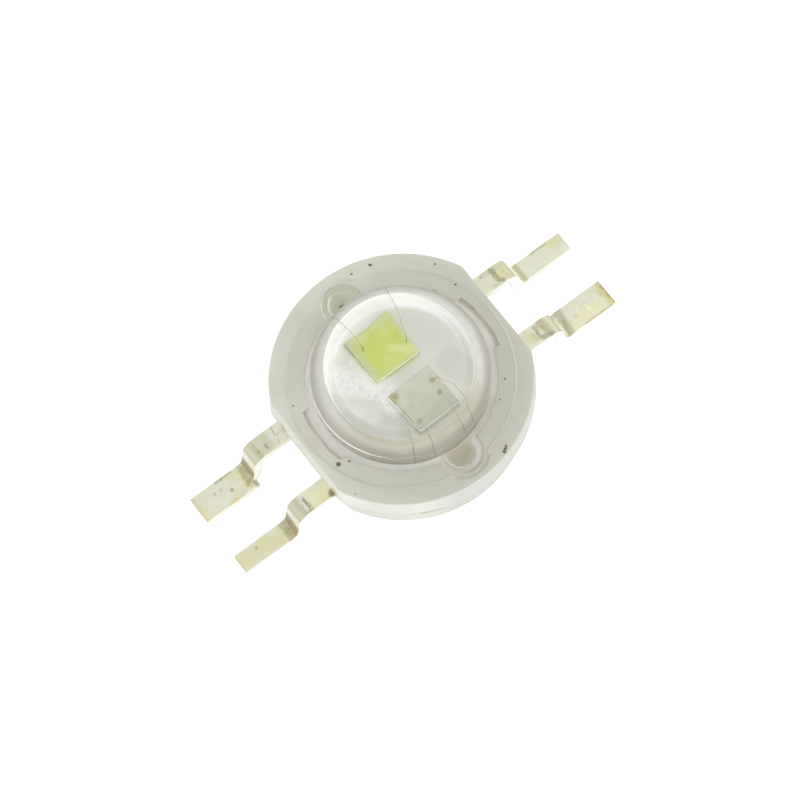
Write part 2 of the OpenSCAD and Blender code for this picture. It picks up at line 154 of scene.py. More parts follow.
def paint(tree, tone, coats):
    """Lays coats over a tone. Each is a hex colour and the parts of the mask where it lies."""
    for shade, *parts in coats:
        tone = add(tree, MIX, {"Factor": where(tree, *parts), "A": tone, "B": linear(shade)},
                   data_type="RGBA")
    return tone


def patches(tree, place, marks, wobble=0.1, blob=0.3, ragged=0.5, full=0.8):
    """One mask for many patches, used for stains and for painted light and shade. A mark is a
    place and a radius, or two ends of a streak and a radius. Noise of a blob's size shakes the
    place by the wobble and makes the edge ragged."""
    rough = add(tree, NOISE, {"Vector": place, "Scale": 1 / blob, "Detail": 4.0, "Roughness": 0.65})
    shake = add(tree, VECTOR, {0: rough.outputs["Color"], 1: (0.5, 0.5, 0.5)}, operation="SUBTRACT")
    shake = add(tree, VECTOR, {0: shake, 3: 2 * wobble}, operation="SCALE")
    moved = add(tree, VECTOR, {0: place, 1: shake}, operation="ADD")
    mask = 0.0
    for *ends, radius in marks:
        nearest, way = tuple(ends[:3]), Vector(ends[-3:]) - Vector(ends[:3])
        if way.length > 0:
            offset = add(tree, VECTOR, {0: moved, 1: nearest}, operation="SUBTRACT")
            unit = tuple(way / way.length_squared)
            along = add(tree, VECTOR, {0: offset, 1: unit}, operation="DOT_PRODUCT")
            along = add(tree, MATH, {0: along, 1: 1.0}, operation="MULTIPLY", use_clamp=True)
            nearest = add(tree, VECTOR, {0: tuple(way), 1: along, 2: nearest}, operation="MULTIPLY_ADD")
        far = add(tree, VECTOR, {0: moved, 1: nearest}, operation="DISTANCE")
        patch = where(tree, (far, radius * 1.2, radius * 0.3))
        mask = add(tree, MATH, {0: mask, 1: patch}, operation="MAXIMUM")
    uneven = add(tree, MATH, {0: rough, 1: 0.5}, operation="SUBTRACT")
    mask = add(tree, MATH, {0: uneven, 1: 2 * ragged, 2: mask}, operation="MULTIPLY_ADD")
    return where(tree, (mask, 0.1, full))


print("tools for masks: surface, where, paint, stains")

# %% [markdown]
# ## Tools for meshes
# Most pieces here are rings stacked around one axis, like pottery. `skin` joins a list of rings
# that share their angles into one closed surface. A ring is a list of points in millimetres.

# %% Meshes from rings
def piece(name, vertices, faces, material, sharp_deg=35):
    """Makes an object from points in millimetres, smooth except at creases."""
    mesh = bpy.data.meshes.new(name)
    mesh.from_pydata([[c * MM for c in v] for v in vertices], [], faces)
    return finish_piece(name, mesh, material, sharp_deg)


def finish_piece(name, mesh, material, sharp_deg=35):
    """Points a mesh's faces outward, shades it and puts it in the scene."""
    work = bmesh.new()
    work.from_mesh(mesh)
    bmesh.ops.recalc_face_normals(work, faces=work.faces)
    work.to_mesh(mesh)
    work.free()
    mesh.shade_smooth()
    mesh.set_sharp_from_angle(angle=math.radians(sharp_deg))
    mesh.materials.clear()
    mesh.materials.append(material)
    made = bpy.data.objects.new(name, mesh)
    bpy.context.scene.collection.objects.link(made)
    return made


def skin(rings, loop=False):
    """Joins rings into quads. A ring of one point is a pole. loop joins the last ring to the first."""
    vertices, starts = [], []
    for ring in rings:
        starts.append(len(vertices))
        vertices.extend(ring)
    faces = []
    pairs = list(zip(range(len(rings) - 1), range(1, len(rings))))
    if loop:
        pairs.append((len(rings) - 1, 0))
    for a, b in pairs:
        count = max(len(rings[a]), len(rings[b]))
        for i in range(count):
            j = (i + 1) % count
            if len(rings[a]) == 1:
                faces.append((starts[a], starts[b] + j, starts[b] + i))
            elif len(rings[b]) == 1:
                faces.append((starts[a] + i, starts[a] + j, starts[b]))
            else:
                faces.append((starts[a] + i, starts[a] + j, starts[b] + j, starts[b] + i))
    return vertices, faces


def arc(centre, radius, start_deg, end_deg, steps):
    """Points of an arc in a plane, both ends included."""
    turns = [math.radians(start_deg + (end_deg - start_deg) * i / steps) for i in range(steps + 1)]
    return [(centre[0] + radius * math.cos(a), centre[1] + radius * math.sin(a)) for a in turns]


print("tools for meshes: piece, finish_piece, skin, arc")


# %% [markdown]
# ## Sizes
# These are the CAD's own values, in millimetres from the lens axis and the seating plane. A
# script can't read the CAD source, so the few that the looks need are written once more here.

# %% Sizes in millimetres
BODY_TOP, BODY_LIFT = 2.53, 0.08
PARTING_Z, PARTING_R = 1.64, 4.0295
FLAT, CORNER = 3.6395, 0.5295
DRAFT_UP, DRAFT_DOWN = math.tan(math.radians(1.9)), math.tan(math.radians(9.7))
FACE_Z, RIM_R = 2.46, 3.43
POCKET_Z, CAVITY_R, MOAT_Z = 2.26, 2.5, 1.60
SLUG_R, POST_R, CUP_TOP, CUP_FLOOR = 2.9, 1.84, 2.9, 2.5
SHOULDER_Z, POST_FOOT_Z = 0.55, 1.0
DOME_R, DOME_Z, COLLAR_Z, COLLAR_R = 2.75, 2.60, 3.05, 2.74
FLANGE_R, LUG_X, LUG_Y, LUG_R = 2.86, 3.04, 0.91, 3.08
EAR_Y, EAR_R, EAR_HOLE_R = 2.97, 0.63, 0.40
LENS_GAP, SLUG_GAP, POST_GAP = 0.04, 0.01, 0.02
EDGE_ROUND = 0.03
print("dome top at", DOME_Z + DOME_R, "mm")

# %% [markdown]
# ## Angles and outlines
# The body is a circle cut by two flats, and the lens flange is a circle with two ears and two
# lugs. Seen from the axis, every direction meets each outline once, so an outline can be written
# as a radius for an angle. Angles are closer together where an outline turns sharply.

# %% Outlines by angle
def spread(step_deg, fine_deg, fine_ranges):
    """Angles around a circle, finer in the ranges given and in their mirror images."""
    found = {round(i * step_deg, 4) for i in range(int(360 / step_deg))}
    for low, high in fine_ranges:
        count = int((high - low) / fine_deg)
        for i in range(count + 1):
            a = low + i * fine_deg
            for turned in (a, 180 - a, 180 + a, 360 - a):
                found.add(round(turned % 360, 4))
    return [math.radians(a) for a in sorted(found)]


ANGLES = spread(0.8, 0.16, [(16.4, 19.2), (76.6, 79.4), (24, 30)])
CORNER_X = FLAT - CORNER
CORNER_Y = math.sqrt((PARTING_R - CORNER) ** 2 - CORNER_X ** 2)


def far_hit(angle, centre_x, centre_y, radius):
    """Distance at which a ray from the axis leaves a circle, or 0 if it misses."""
    along = centre_x * math.cos(angle) + centre_y * math.sin(angle)
    across = centre_x ** 2 + centre_y ** 2 - along ** 2
    if along <= 0 or across >= radius ** 2:
        return 0.0
    return along + math.sqrt(radius ** 2 - across)


def body_radius(angle, inset):
    """Radius of the body's outline, moved inward by inset."""
    folded = math.atan2(abs(math.sin(angle)), abs(math.cos(angle)))
    if folded < math.atan2(CORNER_Y, FLAT - inset):
        return (FLAT - inset) / math.cos(folded)
    if folded < math.atan2(CORNER_Y, CORNER_X):
        return far_hit(folded, CORNER_X, CORNER_Y, CORNER - inset)
    return PARTING_R - inset


def flange_radius(angle, grow):
    """Radius of the flange with its ears and lugs, grown by a clearance."""
    folded = math.atan2(abs(math.sin(angle)), abs(math.cos(angle)))
    side = (LUG_X + grow) / max(math.cos(folded), 1e-9)
    end = (LUG_Y + grow) / max(math.sin(folded), 1e-9)
    lug = min(side, end, LUG_R + grow)
    return max(FLANGE_R + grow, lug, far_hit(folded, 0, EAR_Y, EAR_R + grow))


def ring(radius, z):
    """A ring of points; radius is a number or a function of the angle."""
    measure = radius if callable(radius) else (lambda angle: radius)
    return [(measure(a) * math.cos(a), measure(a) * math.sin(a), z) for a in ANGLES]


print(len(ANGLES), "angles around each ring")

# %% [markdown]
# ## The moulded plastic
# The body is a white heat resistant nylon, injection moulded. Such plastic is off-white with a
# satin skin and a little light passing through thin edges, so its shader has a soft sheen, faint
# cloudiness and a weak subsurface. Years of flux and dust have left brown tints near the lens.

# %% White nylon
plastic, tree, shader = new_material(
    "moulded_white_nylon", Roughness=0.42, IOR=1.53, Subsurface_Weight=0.15,
    Subsurface_Scale=0.0003, Subsurface_Radius=(1.0, 0.9, 0.7))
at = surface(tree)
cloud = add(tree, NOISE, {"Vector": at.place, "Scale": 1 / 1.6})
grain = add(tree, NOISE, {"Vector": at.place, "Scale": 1 / 0.06})
lean = add(tree, VECTOR, {0: at.place, 1: (0.5, -0.86, 0.0)}, operation="DOT_PRODUCT")
along_x = add(tree, MATH, {0: at.facing[0]}, operation="ABSOLUTE")
x_squared = add(tree, MATH, {0: at.x, 1: at.x}, operation="MULTIPLY")
ear, far_well, near_well = (
    add(tree, VECTOR, {0: at.place, 1: centre}, operation="DISTANCE")
    for centre in ((0.0, EAR_Y, 2.3), (0.0, EAR_Y, POCKET_Z), (0.0, -EAR_Y, POCKET_Z)))
side = where(tree, (at.level, 0.6, 0.25), (at.reach, 3.5, 3.56))
low = where(tree, (at.z, 2.44, 2.38))
under_lens = where(tree, (at.reach, 3.60, 3.56), low)
tint = patches(tree, at.place, [
    (0.6, -2.6, 2.2, 1.6, -2.15, 2.2, 0.35), (2.1, -1.4, 1.75, 2.55, -0.3, 1.75, 0.5)],
    wobble=0.15, blob=0.5, full=1.3)
grime = patches(tree, at.place, [
    (-3.6, 1.15, 1.8, 0.22), (-3.6, -1.42, 1.8, 0.22)], wobble=0.08, blob=0.2, ragged=0.6)
smear = patches(tree, at.place, [
    (-1.88, -3.54, 1.60, -1.58, -3.67, 1.58, 0.14), (-1.5, -3.7, 1.66, -1.35, -3.76, 1.66, 0.07)],
    wobble=0.04, blob=0.12, ragged=0.8, full=1.2)
rust = patches(tree, at.place, [
    (-2.9, -2.05, 2.47, -2.65, -2.3, 2.47, 0.05)], wobble=0.04, blob=0.2)
tone = paint(tree, linear("#C1C1B5"), [
    # The open faces: cloudy, and painted shade that greys them toward the near right.
    ("#C8C8BD", (cloud, 0.3, 0.7)),
    ("#B5B5A9", (lean, -2.5, 2.6)),
    # Painted light and shade on the drafted side: its own tone, paler on its left and the flats.
    ("#BCBCB8", side),
    ("#CDCDC8", side, (at.x, -0.7, -1.9)),
    ("#D6D6D0", side, (along_x, 0.75, 0.9)),
    # Painted light: the pocket and cavity under the lens painted near white; painted shade on its lugs.
    ("#FAF9F2", under_lens),
    ("#DEDCCF", under_lens, (at.reach, 2.95, 3.08), (x_squared, 2.0, 3.0)),
    # Painted light: the slope from the rim to the face, painted lighter on the near right.
    ("#D0D0C4", (at.level, 0.97, 0.8), (lean, 0.0, 2.5), (at.z, 2.45, 2.47), (at.reach, 3.6, 3.56)),
    # The greenish far ear and the browner near one, seen through their gel.
    ("#F2F4DC", (ear, 0.9, 0.6), low, 0.7),
    ("#E8EAD4", (far_well, 0.75, 0.3), low, 0.7),
    ("#D2CCB4", (near_well, 0.75, 0.3), low, 0.85),
    # Dirt.
    ("#B9AC8A", tint, 0.35),
    ("#A8A388", grime, 0.7),
    ("#96906E", smear, 0.85),
    ("#BDAA72", rust, 0.6)])
satin = add(tree, RANGE, {0: cloud, 1: 0.3, 2: 0.7, 3: 0.38, 4: 0.48}, interpolation_type="SMOOTHSTEP")
skin_relief = add(tree, BUMP, {"Height": grain, "Distance": 0.004 * MM, "Strength": 0.5})
feed(tree, shader, {"Base Color": tone, "Roughness": satin, "Normal": skin_relief})
print("nylon:", len(tree.nodes), "nodes")

# %% [markdown]
# ## Body
# One closed skin runs from the hole for the slug, out over the rounded bottom edge, up the
# drafted side with its line of flash, over the rim, down into the recess and the lens pocket,
# and back down the cavity. Rounded edges are short arcs, because a moulded edge always
# catches a line of light.

# %% Build the body
BOTTOM_ROUND, CAVITY_ROUND, POCKET_FOOT = 0.22, 0.05, 0.02
FLASH = ((1.60, 0.004), (1.615, 0.018), (1.63, 0.018), (1.645, 0.0))
RIM_SLOPE = (
    (0.10, 0.0), (0.08, -0.003), (0.06, -0.011), (0.04, -0.027), (0.015, -0.048),
    (-0.01, -0.062), (-0.03, -0.068), (-0.06, -0.07))


def side_inset(z):
    """How far the drafted side is set in at a height."""
    return (z - PARTING_Z) * DRAFT_UP if z > PARTING_Z else (PARTING_Z - z) * DRAFT_DOWN


def body_ring(z, extra=0.0):
    return ring(lambda a: body_radius(a, side_inset(z) + extra), z)


def recess_radius(angle, grow):
    """Radius of the recess inside the rim, which also leaves room for the ears."""
    widest = body_radius(angle, side_inset(BODY_TOP)) - 2 * EDGE_ROUND
    return min(max(RIM_R + grow, flange_radius(angle, 0.17 + grow)), widest)


rings = [ring(SLUG_R + SLUG_GAP, BODY_LIFT)]
for x, z in arc((BOTTOM_ROUND, BODY_LIFT + BOTTOM_ROUND), BOTTOM_ROUND, 270, 180, 6):
    rings.append(body_ring(z, x))
rings += [body_ring(z) for z in (0.6, 1.0, 1.4, 1.585)]
rings += [body_ring(z, -out) for z, out in FLASH]
rings += [body_ring(z) for z in (1.8, 2.1, 2.35)]
for x, z in arc((EDGE_ROUND, BODY_TOP - EDGE_ROUND), EDGE_ROUND, 180, 90, 4):
    rings.append(body_ring(z, x))
for x, z in RIM_SLOPE:
    rings.append(ring(lambda a, grow=x: recess_radius(a, grow), BODY_TOP + z))
rings.append(ring(lambda a: max(3.32, flange_radius(a, LENS_GAP + 0.05)), FACE_Z))
for x, z in arc((LENS_GAP + EDGE_ROUND, FACE_Z - EDGE_ROUND), EDGE_ROUND, 90, 180, 4):
    rings.append(ring(lambda a, grow=x: flange_radius(a, grow), z))
rings.append(ring(lambda a: flange_radius(a, LENS_GAP - 0.005), POCKET_Z + POCKET_FOOT))
rings.append(ring(lambda a: flange_radius(a, LENS_GAP - 0.025), POCKET_Z))
for x, z in arc((CAVITY_R + CAVITY_ROUND, POCKET_Z - CAVITY_ROUND), CAVITY_ROUND, 90, 180, 4):
    rings.append(ring(x, z))
rings += [ring(CAVITY_R, MOAT_Z + EDGE_ROUND), ring(CAVITY_R - EDGE_ROUND, MOAT_Z)]
rings += [ring(POST_R + POST_GAP, MOAT_Z), ring(POST_R + POST_GAP, POST_FOOT_Z)]
rings.append(ring(SLUG_R + SLUG_GAP, SHOULDER_Z + SLUG_GAP))
body = piece("moulded_body", *skin(rings, loop=True), plastic)
print("body:", len(body.data.polygons), "faces")

# %% [markdown]
# ## Clear silicone
# Lens and gel have nearly the same optical density, so light goes from one to the other without
# bending and the eye sees one clear body. It is made as one solid here: dome, collar, flange
# with ears and lugs, and the gel below it that wets the cup, the chips and the bond fingers.
# Silicone bends light a little less than glass: its index is 1.41. Parts of the ear lips and of
# the collar's ledge carry painted highlights: a mask shaped like a piece of a ring takes some of
# the transmission away there, so the clear silicone shows white.

# %% Clear silicone
def crescent(tree, place, centre, radius, half, toward_deg, reach_deg):
    """A mask shaped like part of a ring around an upright line, fading toward its ends."""
    offset = add(tree, VECTOR, {0: place, 1: (*centre, 0.0)}, operation="SUBTRACT")
    offset = add(tree, VECTOR, {0: offset, 1: (1.0, 1.0, 0.0)}, operation="MULTIPLY")
    far = add(tree, VECTOR, {0: offset}, operation="LENGTH")
    off = add(tree, MATH, {0: far, 1: radius}, operation="SUBTRACT")
    off = add(tree, MATH, {0: off}, operation="ABSOLUTE")
    way = add(tree, VECTOR, {0: offset}, operation="NORMALIZE")
    toward = (math.cos(math.radians(toward_deg)), math.sin(math.radians(toward_deg)), 0.0)
    along = add(tree, VECTOR, {0: way, 1: toward}, operation="DOT_PRODUCT")
    end, middle = math.cos(math.radians(reach_deg)), math.cos(math.radians(reach_deg * 0.4))
    return where(tree, (off, half, half * 0.2), (along, end, middle))


clear, tree, shader = new_material(
    "clear_silicone", Roughness=0.0, IOR=1.41, Transmission_Weight=1.0, Base_Color=linear("#FEFEFD"))
at = surface(tree)
painted_glint = 0.0
# Painted highlights: white crescents on the ear lips, where transmission is taken away.
for y, radius, half, toward_deg, reach_deg, share in (
        (EAR_Y, 0.42, 0.05, 150, 60, 0.5), (EAR_Y, 0.42, 0.05, 50, 60, 0.1),
        (EAR_Y, 0.66, 0.05, 150, 55, 0.6), (EAR_Y, 0.66, 0.05, 50, 65, 0.2),
        (-EAR_Y, 0.53, 0.12, -40, 65, 0.16), (-EAR_Y, 0.49, 0.04, 205, 55, 0.2),
        (-EAR_Y, 0.66, 0.05, 205, 35, 0.2)):
    bend = crescent(tree, at.place, (0, y), radius, half, toward_deg, reach_deg)
    painted_glint = add(tree, MATH, {0: painted_glint, 1: where(tree, bend, share)}, operation="MAXIMUM")
painted_glint = where(tree, painted_glint, (at.z, 2.36, 2.39), (at.z, 2.55, 2.52))
# Painted highlight: a white arc on the collar's ledge.
ledge_glint = crescent(tree, at.place, (0, 0), 2.72, 0.035, 188, 42)
ledge_glint = where(tree, ledge_glint, (at.z, 3.0, 3.02), (at.z, 3.08, 3.06), 0.5)
painted_glint = add(tree, MATH, {0: painted_glint, 1: ledge_glint}, operation="MAXIMUM")
feed(tree, shader, {"Transmission Weight": add(tree, MATH, {0: 1.0, 1: painted_glint}, operation="SUBTRACT")})
print("silicone:", len(tree.nodes), "nodes")

# %% Build the lens and gel
DOME_STEPS, LEDGE_ROUND, COLLAR_FILLET = 60, 0.026, 0.06
FLANGE_TOP, FLANGE_GROW, GEL_GROW, GEL_LOW = FACE_Z - 0.01, 0.045, 0.02, 1.55
foot_deg = math.degrees(math.asin((COLLAR_Z - DOME_Z) / DOME_R))
dome = arc((0, DOME_Z), DOME_R, 90, foot_deg, DOME_STEPS)[1:]
dome.append((dome[-1][0] + 0.003, COLLAR_Z - 0.003))
dome += arc((COLLAR_R - LEDGE_ROUND, COLLAR_Z - 0.03), LEDGE_ROUND, 85, 0, 5) + [(COLLAR_R, 2.8)]
dome += arc((COLLAR_R + COLLAR_FILLET, FLANGE_TOP + COLLAR_FILLET), COLLAR_FILLET, 180, 270, 5)
rings = [[(0.0, 0.0, DOME_Z + DOME_R)]] + [ring(x, z) for x, z in dome]
for x, z in arc((FLANGE_GROW - EDGE_ROUND, FLANGE_TOP - EDGE_ROUND), EDGE_ROUND, 90, 0, 4):
    rings.append(ring(lambda a, grow=x: flange_radius(a, grow), z))
rings.append(ring(lambda a: flange_radius(a, FLANGE_GROW), POCKET_Z - 0.01))
rings += [ring(CAVITY_R + GEL_GROW, z) for z in (POCKET_Z - 0.06, GEL_LOW)]
rings.append([(0.0, 0.0, GEL_LOW)])
lens = piece("clear_lens_and_gel", *skin(rings), clear, 28)
print("lens:", len(lens.data.polygons), "faces")

# %% [markdown]
# ## Ears
# The gel is poured in through a hole in one ear until it shows in the other. Each ear has a
# rounded lip, and the gel stops below it in a shallow bowl. Lip and bowl cross the rings of the
# flange, so they are made with Booleans: one adds the lip, one cuts the bowl.

# %% Shape the ears
LIP_R, LIP_T, LIP_Z = 0.52, 0.115, 2.40
BOWL_MIDDLE, BOWL_LOW, BOWL_HIGH = EAR_Y + 0.08, 2.30, 2.7
BOWL = ((0.45, 2.302), (0.7, 2.315), (0.85, 2.34), (0.94, 2.38), (1.0, 2.43), (1.0, BOWL_HIGH))


def ear_lip(side):
    """A closed ring with a round section that stands on the ear."""
    rings = []
    for turn_x, turn_y in arc((0, 0), 1.0, 0, 360, 72)[:-1]:
        rings.append([((LIP_R + x) * turn_x, side * EAR_Y + (LIP_R + x) * turn_y, z)
                      for x, z in arc((0, LIP_Z), LIP_T, 0, 360, 20)[:-1]])
    return piece("ear_lip", *skin(rings, loop=True), clear)


def bowl(side):
    """The cutter for one bowl: the part of the hole outside the collar."""
    outline = []
    for x, y in arc((0, 0), 1.0, 0, 360, 64)[:-1]:
        reach = EAR_HOLE_R
        while math.hypot(x * reach, EAR_Y + y * reach) < COLLAR_R + 0.07 and reach > 0.02:
            reach -= 0.005
        outline.append((x * reach, y * reach))
    rings = [[(0.0, side * BOWL_MIDDLE, BOWL_LOW)]]
    for share, z in BOWL:
        rings.append([(x * share, side * (BOWL_MIDDLE + (EAR_Y + y - BOWL_MIDDLE) * share), z)
                      for x, y in outline])
    rings.append([(0.0, side * BOWL_MIDDLE, BOWL_HIGH)])
    return piece("bowl", *skin(rings), clear)


for side in (1, -1):
    for tool, kind in ((ear_lip(side), "UNION"), (bowl(side), "DIFFERENCE")):
        cut = lens.modifiers.new("ear", "BOOLEAN")
        cut.operation, cut.object, cut.solver = kind, tool, "EXACT"
        shaped = bpy.data.meshes.new_from_object(lens.evaluated_get(bpy.context.evaluated_depsgraph_get()))
        lens.modifiers.clear()
        lens.data = shaped
        bpy.data.objects.remove(tool)
lens.data.materials.clear()
lens.data.materials.append(clear)
lens.data.shade_smooth()
lens.data.set_sharp_from_angle(angle=math.radians(28))
print("lens with ears:", len(lens.data.polygons), "faces")

# %% [markdown]
# ## Silver plate
# The slug is copper with a bright silver plate. Metal keeps the default index; what makes
# it silver is a pale colour with a little warmth, and a fine turned and etched grain that
# spreads reflections. The cup has one streak where the grain is coarser and a painted glint
# lies, and its floor carries painted light and shade. The sloped wall is painted flat white
# and not metallic, a painted reflection of the bright light, and the white moulding covers
# the outside of the post.

# %% Silver plate
silver, tree, shader = new_material("silver_plated_copper")
at = surface(tree)
grain = add(tree, NOISE, {"Vector": at.place, "Scale": 1 / 0.05, "Detail": 3.0, "Roughness": 0.6})
cloud = add(tree, NOISE, {"Vector": at.place, "Scale": 1 / 0.7})
flecks = add(tree, MAPPING, {
    "Vector": at.place, "Rotation": (0.0, 0.0, math.radians(20)), "Scale": (1.0, 0.4, 1.0)})
fine = add(tree, NOISE, {"Vector": flecks, "Scale": 1 / 0.05, "Detail": 3.0, "Roughness": 0.6})
across = add(tree, VECTOR, {0: at.place, 1: (1.0, 0.3, 0.0)}, operation="DOT_PRODUCT")
low_side = add(tree, VECTOR, {0: at.place, 1: (-0.3, -0.95, 0.0)}, operation="DOT_PRODUCT")
# Painted glint: the streak is painted white and made less metallic, over a coarser grain.
streak = patches(tree, at.place, [
    (-1.2, 0.85, 2.5, -0.46, 0.06, 2.5, 0.5), (-0.46, 0.06, 2.5, -0.5, -0.4, 2.5, 0.36)],
    wobble=0.14, blob=0.4, ragged=0.3, full=1.5)
# Painted light: a pool of light beside the streak, and a fringe of light by the coated chip.
near_side = patches(tree, at.place, [(-1.28, 0.3, 2.5, -1.0, -0.25, 2.5, 0.38)], ragged=0.4, full=1.4)
glare = patches(tree, at.place, [(-0.55, 0.9, 2.5, -0.56, 0.15, 2.5, 0.17)], full=1.3)
# Painted shade toward the right of the cup floor.
far_shade = patches(tree, at.place, [(1.05, -0.35, 2.5, 1.2, -0.75, 2.5, 0.42)], blob=0.5)
brown = patches(tree, at.place, [
    (-0.2, -1.68, 2.6, 0.7, -1.55, 2.6, 0.28), (0.7, -1.55, 2.6, 1.15, -1.25, 2.6, 0.26)], full=1.3)
flared = where(tree, (at.reach, 1.44, 1.54), (low_side, -0.2, -1.2))
wall = add(tree, MATH, {0: flared, 1: where(tree, (at.reach, 1.56, 1.59))}, operation="MAXIMUM")
wall = where(tree, wall, (at.reach, 1.785, 1.765), (at.z, 2.3, 2.45))
sleeve = where(tree, (at.reach, 1.83, 1.838), (at.z, 2.885, 2.87), (at.z, 1.02, 1.06))
tone = paint(tree, linear("#D2D3C9"), [
    # The floor of the cup with painted light: brighter to the right, a painted glint on its
    # streak, a painted pool of light beside the streak and painted light by the coated chip.
    ("#DADBD1", (cloud, 0.3, 0.7)),
    ("#E8E9DF", (across, -0.9, 0.6)),
    ("#FFFFFF", streak, (fine, 0.40, 0.54, 0.5)),
    ("#F6F7F0", near_side, 0.7),
    ("#FFFFF8", glare, 0.6),
    # Painted reflection: the sloped wall is painted flat white. The white sleeve of the post,
    # and painted shade on its near side.
    ("#FFFFFF", wall),
    ("#F4F3EC", sleeve),
    ("#CDC9B7", (low_side, 0.2, 1.5), (at.reach, 1.76, 1.80), (at.z, 2.5, 2.88, 0.6), (at.z, 1.1, 1.3)),
    # Painted shade toward the right of the floor, and brown tarnish.
    ("#D2D2C5", far_shade, 0.5),
    ("#B9A084", brown, 0.35)])
satin = 0.3
for mask, roughness in ((streak, 0.4), (sleeve, 0.6), (wall, 0.3)):
    satin = add(tree, MIX, {"Factor": mask, "A": satin, "B": roughness})
# The plate stops being metallic on the white sleeve, the wall's painted reflection and the streak's painted
# glint.
sleeve_and_painted_white = add(tree, MATH, {0: sleeve, 1: wall}, operation="MAXIMUM")
sleeve_and_painted_white = add(tree, MATH, {0: sleeve_and_painted_white, 1: where(tree, streak, 0.9)}, operation="MAXIMUM")
bright = add(tree, MATH, {0: 1.0, 1: sleeve_and_painted_white}, operation="SUBTRACT")
sparkle = where(tree, streak, streak, fine)
height = add(tree, MATH, {0: sparkle, 1: 3.5, 2: grain}, operation="MULTIPLY_ADD")
plate_relief = add(tree, BUMP, {"Height": height, "Distance": 0.006 * MM, "Strength": 0.6})
feed(tree, shader, {
    "Base Color": tone, "Roughness": satin, "Metallic": bright, "Normal": plate_relief})
print("silver:", len(tree.nodes), "nodes")

# %% [markdown]
# ## Heat slug
# The slug is turned, so it is a profile spun about an axis. A Geometry Nodes tree does that:
# it lays a grid with one column for each profile point, looks up each point's radius and height,
# and wraps the grid around the axis. Any other turned piece can use the same tree.

# %% A tree that turns a profile
def new_tree(name, inputs):
    """Starts a Geometry Nodes tree with named inputs."""
    tree = bpy.data.node_groups.new(name, "GeometryNodeTree")
    tree.is_modifier = True
    tree.interface.new_socket(name="Geometry", in_out="INPUT", socket_type="NodeSocketGeometry")
    for label, kind, value in inputs:
        item = tree.interface.new_socket(name=label, in_out="INPUT", socket_type="NodeSocket" + kind)
        if value is not None:
            item.default_value = value
    tree.interface.new_socket(name="Geometry", in_out="OUTPUT", socket_type="NodeSocketGeometry")
    return tree, add(tree, "NodeGroupInput")


def close_tree(tree, geometry, material):
    """Ends a tree with real geometry and its material."""
    real = add(tree, "GeometryNodeRealizeInstances", {"Geometry": geometry})
    done = add(tree, "GeometryNodeSetMaterial", {"Geometry": real, "Material": material})
    add(tree, "NodeGroupOutput", {"Geometry": done})


def run_tree(name, guide, tree, values, sharp_deg=35):
    """Runs a tree on a guide mesh and returns its result as a plain object."""
    source = bpy.data.objects.new(name + "_guide", guide)
    bpy.context.scene.collection.objects.link(source)
    step = source.modifiers.new("tree", "NODES")
    step.node_group = tree
    ids = {item.name: item.identifier for item in tree.interface.items_tree if item.in_out == "INPUT"}
    for label, value in values.items():
        step[ids[label]] = value
    made = bpy.data.meshes.new_from_object(source.evaluated_get(bpy.context.evaluated_depsgraph_get()))
    source.modifiers.clear()
    bpy.data.objects.remove(source)
    return finish_piece(name, made, values["Material"], sharp_deg)


turn, entry = new_tree("turned_profile", [
    ("Steps Around", "Int", 192), ("Profile Points", "Int", 10), ("Material", "Material", None)])
steps, points = entry.outputs["Steps Around"], entry.outputs["Profile Points"]
around = add(turn, MATH, {0: steps, 1: 1.0}, operation="ADD")
grid = add(turn, "GeometryNodeMeshGrid", {"Vertices X": around, "Vertices Y": points})
index = add(turn, "GeometryNodeInputIndex")
column = add(turn, MATH, {0: index, 1: points}, operation="MODULO")
row = add(turn, MATH, {0: add(turn, MATH, {0: index, 1: points}, operation="DIVIDE")}, operation="FLOOR")
share = add(turn, MATH, {0: row, 1: steps}, operation="DIVIDE")
angle = add(turn, MATH, {0: share, 1: 2 * math.pi}, operation="MULTIPLY")
looked_up = add(turn, "GeometryNodeSampleIndex", data_type="FLOAT_VECTOR", domain="POINT")
feed(turn, looked_up, {
    "Geometry": entry.outputs["Geometry"], "Value": add(turn, "GeometryNodeInputPosition"), "Index": column})
spun = add(turn, "ShaderNodeVectorRotate", {"Vector": looked_up, "Angle": angle}, rotation_type="Z_AXIS")
placed = add(turn, "GeometryNodeSetPosition", {"Geometry": grid, "Position": spun})
joined = add(turn, "GeometryNodeMergeByDistance", {"Geometry": placed, "Distance": 1e-7})
close_tree(turn, joined, entry.outputs["Material"])


def turned(name, profile, material, steps=192, sharp_deg=35):
    """Turns a profile of radius and height pairs into a closed piece."""
    guide = bpy.data.meshes.new(name + "_profile")
    guide.from_pydata([(r * MM, 0, z * MM) for r, z in profile], [], [])
    return run_tree(name, guide, turn, {
        "Steps Around": steps, "Profile Points": len(profile), "Material": material}, sharp_deg)


print("turning tree:", len(turn.nodes), "nodes")

